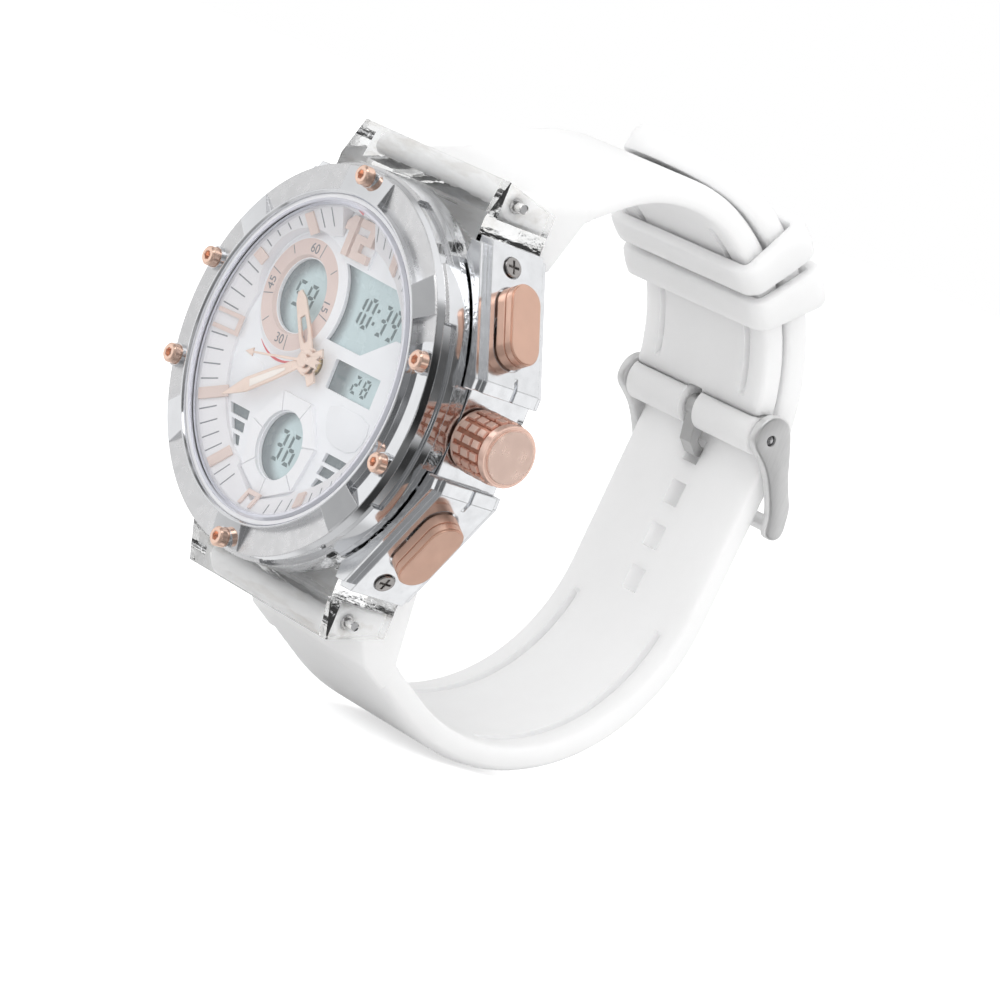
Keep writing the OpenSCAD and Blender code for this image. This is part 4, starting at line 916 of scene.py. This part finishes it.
def lettering(name, pieces, z, material, thick=0.02):
    """Figures lying flat in the case: each piece is its text, place, height and turn in degrees."""
    joined = bmesh.new()
    for text, x, y, size, turn in pieces:
        curve = bpy.data.curves.new(name, "FONT")
        curve.body = text
        curve.size = size
        curve.align_x = "CENTER"
        curve.align_y = "CENTER"
        curve.extrude = thick / 2
        curve.resolution_u = 4
        temporary = bpy.data.objects.new(name, curve)
        bpy.context.collection.objects.link(temporary)
        graph = bpy.context.evaluated_depsgraph_get()
        mesh = bpy.data.meshes.new_from_object(temporary.evaluated_get(graph))
        bpy.data.objects.remove(temporary)
        c = math.cos(math.radians(turn))
        s = math.sin(math.radians(turn))
        for vertex in mesh.vertices:
            px, py, pz = vertex.co
            vertex.co = case_point(x + px * c - py * s, y + px * s + py * c, z + pz)
        joined.from_mesh(mesh)
        bpy.data.meshes.remove(mesh)
    mesh = bpy.data.meshes.new(name)
    joined.to_mesh(mesh)
    joined.free()
    obj = bpy.data.objects.new(name, mesh)
    bpy.context.collection.objects.link(obj)
    mesh.materials.append(material)
    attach(obj, "head")


def stroke(x0, y0, x1, y1, width):
    """Outline of a straight line."""
    length = math.hypot(x1 - x0, y1 - y0)
    ox = -(y1 - y0) / length * width / 2
    oy = (x1 - x0) / length * width / 2
    return [(x0 + ox, y0 + oy), (x0 - ox, y0 - oy), (x1 - ox, y1 - oy), (x1 + ox, y1 + oy)]


def printed(name, outlines, z, material, thick=0.02, body="head"):
    """A thin layer of outlines on a level of the dial."""
    obj = case_prism(name, outlines, z, z + thick, material)
    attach(obj, body)


SUB_POCKET = 7.15
WEEK_POCKET = 6.5
TWELVE_SIDES = (-3.35, 2.75)
TWELVE_TOP = 16.2


def in_pocket(x, y):
    """True where the chapter ring is cut away round a sub-dial or the raised 12."""
    if math.hypot(x - SUB[0], y - SUB[1]) < SUB_POCKET:
        return True
    if math.hypot(x - WEEK[0], y - WEEK[1]) < WEEK_POCKET:
        return True
    return TWELVE_SIDES[0] < x < TWELVE_SIDES[1] and y < TWELVE_TOP


# Minute marks on the chapter ring's slope, left out where an hour marker stands
MARK_IN = 14.5
MARK_OUT = 16.3
MARK_LEAST = 0.4
MARK_HALF = 0.075
MARK_LIFTS = (-0.02, 0.018)
MARKED_HOURS = (0, 30, 150, 180, 210, 240, 270, 300, 330)
points = []
faces = []
for minute in range(60):
    degrees = minute * 6
    if degrees in MARKED_HOURS:
        continue
    low = MARK_IN
    while in_pocket(*clock(low, degrees)) and low < MARK_OUT:
        low += 0.1
    if MARK_OUT - low < MARK_LEAST:
        continue
    dx, dy = clock(1, degrees)
    base = len(points)
    for r in (low, MARK_OUT):
        for across in (-MARK_HALF, MARK_HALF):
            z = CHAPTER_LOW + (r - CHAPTER_R) * SLOPE
            for lift in MARK_LIFTS:
                points.append(case_point(r * dx + across * dy, r * dy - across * dx, z + lift))
    for face in ((0, 1, 3, 2), (4, 6, 7, 5), (0, 4, 5, 1), (2, 3, 7, 6), (1, 5, 7, 3), (0, 2, 6, 4)):
        faces.append(tuple(base + i for i in face))
marks = build("minute_marks", points, faces, INK)
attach(marks, "head")

# Seconds ring: four numbers, short marks, and the red arc below it
RING_TOP = DIAL_TOP + 0.45
FIGURE = 1.5
RING_MARK_WIDTH = 0.09
LONG_MARK = (4.4, 6.0)
SHORT_MARK = (4.9, 5.9)
RING_MARKS = [
    (12, LONG_MARK), (48, SHORT_MARK), (102, LONG_MARK), (138, SHORT_MARK), (171, LONG_MARK),
    (225, SHORT_MARK), (256, LONG_MARK), (284, LONG_MARK), (318, SHORT_MARK),
]
lettering("seconds_figures", [
    ("60", -6.55, 10.8, FIGURE, 0), ("15", -1.4, 5.9, FIGURE, -90), ("30", -6.6, 0.75, FIGURE, 0),
    ("45", -11.3, 5.7, FIGURE, 90),
], RING_TOP + 0.012, INK)
ring_marks = []
for degrees, (low, high) in RING_MARKS:
    x, y = clock(1, degrees)
    ring_marks.append(stroke(SUB[0] + low * x, SUB[1] + low * y, SUB[0] + high * x, SUB[1] + high * y,
                             RING_MARK_WIDTH))
printed("seconds_marks", ring_marks, RING_TOP + LIFT, INK)

# The arc's inner edge is round, and its outer edge swells towards the middle
ARC_R = 7.05
ARC_WIDTH = 0.05
ARC_SWELL = 0.22
ARC_START = 212
ARC_STEP = 4.4
ARC_LAST = 14
arc_outline = []
for i in range(ARC_LAST + 1):
    x, y = clock(ARC_R, ARC_START - i * ARC_STEP)
    arc_outline.append((SUB[0] + x, SUB[1] + y))
for i in range(ARC_LAST, -1, -1):
    swell = ARC_SWELL * math.sin(math.pi * i / ARC_LAST)
    x, y = clock(ARC_R + swell + ARC_WIDTH, ARC_START - i * ARC_STEP)
    arc_outline.append((SUB[0] + x, SUB[1] + y))
printed("red_arc", [arc_outline], DIAL_TOP + 0.002, INK_RED)
printed("red_pointer", [[(-0.75, 16.45), (0.5, 16.6), (0.4, 16.12)]], CHAPTER_HIGH + 0.01, INK_RED)

# Digits behind the windows, with the bars lit for each figure
LIT = {
    "0": "abcdef", "1": "bc", "2": "abged", "3": "abgcd", "5": "afgcd", "6": "afgedc", "8": "abcdefg",
    "9": "abcdfg",
}
LEAN = 0.12


def seven_segments(digit, x, y, wide, tall, thick):
    """Outlines of a digit's lit bars; x and y are its lower left corner."""
    t = thick
    g = thick * 0.18
    half = tall / 2
    bars = {
        "a": [(g + t * 0.4, tall), (wide - g - t * 0.4, tall), (wide - t - g, tall - t), (t + g, tall - t)],
        "d": [(g + t * 0.4, 0), (t + g, t), (wide - t - g, t), (wide - g - t * 0.4, 0)],
        "g": [(g + t * 0.5, half), (t + g, half + t / 2), (wide - t - g, half + t / 2),
              (wide - g - t * 0.5, half), (wide - t - g, half - t / 2), (t + g, half - t / 2)],
        "f": [(0, tall - g - t * 0.4), (t, tall - t - g), (t, half + t * 0.6), (0, half + g)],
        "e": [(0, half - g), (t, half - t * 0.6), (t, t + g), (0, g + t * 0.4)],
        "b": [(wide, tall - g - t * 0.4), (wide, half + g), (wide - t, half + t * 0.6),
              (wide - t, tall - t - g)],
        "c": [(wide, half - g), (wide, g + t * 0.4), (wide - t, t + g), (wide - t, half - t * 0.6)],
    }
    return [[(x + px + py * LEAN, y + py) for px, py in bars[name]] for name in LIT[digit]]


def dot(x, y, size):
    """Outline of a leaning square."""
    return [(x, y), (x + size, y), (x + size * 1.15, y + size), (x + size * 0.15, y + size)]


digits = []
for figures, y, wide, tall, thick in (
    ((("1", 2.0), ("0", 3.75), ("3", 6.4), ("9", 8.3)), 5.4, 1.35, 3.4, 0.4),
    ((("2", 6.3), ("8", 8.0)), -1.0, 1.1, 2.0, 0.3),
    ((("5", -8.4), ("8", -6.3)), 4.4, 1.5, 2.9, 0.38),
    ((("3", -1.9), ("6", 0.25)), -10.9, 1.5, 3.5, 0.4),
):
    for text, x in figures:
        digits += seven_segments(text, x, y, wide, tall, thick)
digits += [dot(5.6, 6.2, 0.38), dot(5.75, 7.6, 0.38)]
digits.append([(3.6, -0.15), (5.0, -0.15), (5.0, 0.15), (3.6, 0.15)])
printed("display_digits", digits, LCD_TOP + LIFT, LCD_INK, 0.012)

# The minute hand's filling, level with its frame
MINUTE_TURN = math.radians(237)
FILLING_LOW = DIAL_TOP + 1.3
FILLING_THICK = 0.16
filling = []
for x, y in ((-0.15, 3.02), (0.15, 3.02), (0.35, 4.8), (0.41, 8.58), (-0.41, 8.58), (-0.35, 4.8)):
    filling.append((
        x * math.cos(MINUTE_TURN) + y * math.sin(MINUTE_TURN),
        y * math.cos(MINUTE_TURN) - x * math.sin(MINUTE_TURN),
    ))
printed("minute_filling", [filling], FILLING_LOW, LUME, FILLING_THICK, "minutes")

# Raised plates of the dial: bare at the right, and round the left-hand slots
RIGHT_PLATE = [(4.9, -2.5), (11.9, -2.5), (12.4, -4.4), (11.2, -6.6), (7.0, -6.6), (5.4, -5.0)]
LEFT_PLATE = [(-12.6, -2.2), (-8.6, -2.0), (-7.0, -3.3), (-7.6, -5.6), (-11.9, -5.8), (-12.9, -4.2)]
plates = case_prism("dial_plates", [smooth_outline(RIGHT_PLATE, 1), smooth_outline(LEFT_PLATE, 1)],
                    DIAL_TOP - 0.02, DIAL_TOP + 0.14, DIAL)
soften(plates, 0.1, 2)
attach(plates, "head")


# Lamps. Only the key is seen in the metal, which otherwise mirrors the room.
WATCH_MIDDLE = frame_point(0, 15, 0)


def area_light(name, place, size, power, mirrored_too):
    """A square lamp turned to the watch."""
    data = bpy.data.lights.new(name, "AREA")
    data.shape = "RECTANGLE"
    data.size = size
    data.size_y = size
    data.energy = power
    lamp = bpy.data.objects.new(name, data)
    bpy.context.collection.objects.link(lamp)
    lamp.location = place
    lamp.rotation_mode = "QUATERNION"
    lamp.rotation_quaternion = (WATCH_MIDDLE - Vector(place)).to_track_quat("-Z", "Y")
    lamp.visible_glossy = mirrored_too


area_light("key", (0.25, -0.45, 0.8), 0.5, 1.4, True)
area_light("side", (0.8, -0.5, 0.0), 0.6, 1.8, False)
area_light("fill", (-0.75, -0.6, 0.35), 0.7, 0.6, False)
area_light("rim", (0.6, 0.5, 0.6), 0.5, 0.7, False)

# What metal and glass mirror: a white room with grey and black flags standing round it, as for any
# plated object. Each band of the room is a list of places round the azimuth, from 0 to 1, with their
# tones. BANDS says between which heights, as sines, one band passes into the next.
UNDERSIDE = [
    (0.0, 0.72), (0.19, 0.70), (0.20, 0.30), (0.215, 0.35), (0.24, 0.62), (0.50, 0.60), (0.60, 0.05),
    (0.625, 0.50), (0.65, 0.68), (1.0, 0.72),
]
LOW = [
    (0.0, 0.80), (0.05, 0.85), (0.10, 0.60), (0.16, 0.45), (0.20, 0.75), (0.24, 0.62), (0.275, 0.40),
    (0.325, 0.30), (0.36, 0.20), (0.50, 0.20), (0.53, 0.15), (0.56, 0.20), (0.575, 0.12), (0.59, 0.04),
    (0.625, 0.04), (0.64, 0.22), (0.66, 0.35), (0.67, 1.0), (0.69, 1.0), (0.71, 0.66), (0.775, 0.60),
    (0.80, 0.34), (0.825, 0.42), (0.85, 0.85), (0.887, 0.90), (1.0, 0.80),
]
LEVEL = [
    (0.0, 0.95), (0.05, 0.98), (0.10, 0.98), (0.125, 0.84), (0.15, 0.52), (0.17, 0.38), (0.19, 0.30),
    (0.20, 0.08), (0.235, 0.08), (0.25, 0.75), (0.28, 0.50), (0.325, 0.42), (0.345, 0.20), (0.405, 0.10),
    (0.42, 1.0), (0.52, 1.0), (0.53, 0.03), (0.575, 0.02), (0.588, 0.15), (0.597, 0.50), (0.604, 1.0),
    (0.70, 1.0), (0.72, 0.30), (0.745, 0.30), (0.76, 1.0), (0.84, 0.85), (0.86, 0.80), (0.887, 0.97),
    (1.0, 0.95),
]
RAISED = [
    (0.0, 0.62), (0.03, 0.85), (0.07, 0.80), (0.10, 0.80), (0.13, 0.95), (0.15, 0.50), (0.18, 0.45),
    (0.20, 1.0), (0.225, 0.95), (0.25, 0.50), (0.275, 0.32), (0.30, 0.14), (0.325, 0.20), (0.35, 0.45),
    (0.38, 0.20), (0.45, 0.15), (0.53, 0.05), (0.572, 0.02), (0.578, 0.24), (0.59, 0.32), (0.603, 0.32),
    (0.612, 0.10), (0.625, 0.10), (0.64, 0.45), (0.65, 0.95), (0.70, 1.0), (0.78, 0.90), (0.84, 0.78),
    (0.86, 0.75), (0.88, 0.45), (0.90, 0.60), (1.0, 0.62),
]
HIGH = [
    (0.0, 0.60), (0.05, 0.10), (0.075, 0.45), (0.10, 0.16), (0.15, 0.14), (0.175, 0.42), (0.20, 0.16),
    (0.225, 0.42), (0.25, 0.10), (0.30, 0.40), (0.50, 0.40), (0.60, 0.42), (0.615, 1.0), (0.70, 1.0),
    (0.85, 0.90), (0.90, 0.70), (1.0, 0.60),
]
BANDS = [(LOW, -0.86, -0.80), (LEVEL, -0.30, -0.12), (RAISED, 0.0, 0.06), (HIGH, 0.72, 0.80)]


def tones(m, azimuth, stops):
    """A band's tones, looked up by the azimuth."""
    return ramp(m, azimuth, [(place, grey(tone)) for place, tone in stops]).outputs[0]


world = bpy.data.worlds.new("studio")
bpy.context.scene.world = world
world.use_nodes = True
world.node_tree.nodes.clear()
world_out = node(world, "ShaderNodeOutputWorld")
room_light = node(world, "ShaderNodeBackground", Color=grey(1), Strength=0.9)
backdrop = node(world, "ShaderNodeBackground", Color=grey(1), Strength=1)
mirrored = node(world, "ShaderNodeBackground", Strength=1)
direction = node(world, "ShaderNodeTexCoord")
parts = node(world, "ShaderNodeSeparateXYZ")
link(world, direction.outputs["Generated"], parts.inputs[0])
azimuth = both(world, parts.outputs["Y"], parts.outputs["X"], "ARCTAN2")
round_room = node(world, "ShaderNodeMapRange", **{"From Min": -math.pi, "From Max": math.pi})
link(world, azimuth, round_room.inputs["Value"])
room = tones(world, round_room, UNDERSIDE)
for stops, low, high in BANDS:
    height = node(world, "ShaderNodeMapRange", **{"From Min": low, "From Max": high})
    link(world, parts.outputs["Z"], height.inputs["Value"])
    band = node(world, "ShaderNodeMix", data_type="RGBA")
    link(world, height.outputs[0], band.inputs["Factor"])
    link(world, room, band.inputs["A"])
    link(world, tones(world, round_room, stops), band.inputs["B"])
    room = band.outputs["Result"]
link(world, room, mirrored.inputs["Color"])

ray = node(world, "ShaderNodeLightPath")
through = both(world, ray.outputs["Is Glossy Ray"], ray.outputs["Is Transmission Ray"], "MAXIMUM")
around = mix_shaders(world, through, room_light.outputs[0], mirrored.outputs[0])
seen = mix_shaders(world, ray.outputs["Is Camera Ray"], around, backdrop.outputs[0])
link(world, seen, world_out.inputs[0])

# Floor: white to the camera and through glass, with the watch's shadow on it, and not seen in the metal
FLOOR_GAP = 0.0005
FLOOR_HALF = 3
FLOOR_GLOW = 0.6
floor_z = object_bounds()[0].z - FLOOR_GAP
floor_mesh = bpy.data.meshes.new("floor")
floor_mesh.from_pydata([
    (-FLOOR_HALF, -FLOOR_HALF, 0), (FLOOR_HALF, -FLOOR_HALF, 0), (FLOOR_HALF, FLOOR_HALF, 0),
    (-FLOOR_HALF, FLOOR_HALF, 0),
], [], [(0, 1, 2, 3)])
floor = bpy.data.objects.new("floor", floor_mesh)
bpy.context.collection.objects.link(floor)
floor.location.z = floor_z
FLOOR, floor_shader = new_material("floor_white")
floor_shader.inputs["Base Color"].default_value = grey(0.85)
floor_shader.inputs["Roughness"].default_value = 0.9
floor_shader.inputs["Emission Color"].default_value = grey(1)
ray = node(FLOOR, "ShaderNodeLightPath")
link(FLOOR, times(FLOOR, ray.outputs["Is Camera Ray"], FLOOR_GLOW), floor_shader.inputs["Emission Strength"])
bright = node(FLOOR, "ShaderNodeEmission", Strength=1.0)
floor_mix = mix_shaders(FLOOR, ray.outputs["Is Transmission Ray"], floor_shader.outputs[0], bright.outputs[0])
link(FLOOR, floor_mix, output_of(FLOOR).inputs[0])
floor_mesh.materials.append(FLOOR)
floor.visible_glossy = False

# Camera, at the photograph's angle
CAMERA_PLACE = Vector((0.40356, -0.33009, 0.03899))
CAMERA_FORWARD = Vector((-0.75459, 0.65043, -0.08688)).normalized()
CAMERA_ROLL = math.radians(22.18)
camera_data = bpy.data.cameras.new("camera")
camera_data.sensor_width = 36
camera_data.lens = 180
camera_data.clip_start = 0.01
camera_data.clip_end = 20
camera = bpy.data.objects.new("camera", camera_data)
bpy.context.collection.objects.link(camera)
level_right = CAMERA_FORWARD.cross(Vector((0, 0, 1))).normalized()
level_up = level_right.cross(CAMERA_FORWARD)
camera_right = math.cos(CAMERA_ROLL) * level_right + math.sin(CAMERA_ROLL) * level_up
camera_up = math.cos(CAMERA_ROLL) * level_up - math.sin(CAMERA_ROLL) * level_right
camera.matrix_world = Matrix((
    (camera_right.x, camera_up.x, -CAMERA_FORWARD.x, CAMERA_PLACE.x),
    (camera_right.y, camera_up.y, -CAMERA_FORWARD.y, CAMERA_PLACE.y),
    (camera_right.z, camera_up.z, -CAMERA_FORWARD.z, CAMERA_PLACE.z),
    (0, 0, 0, 1),
))
bpy.context.scene.camera = camera
bpy.context.scene.view_settings.view_transform = "Standard"
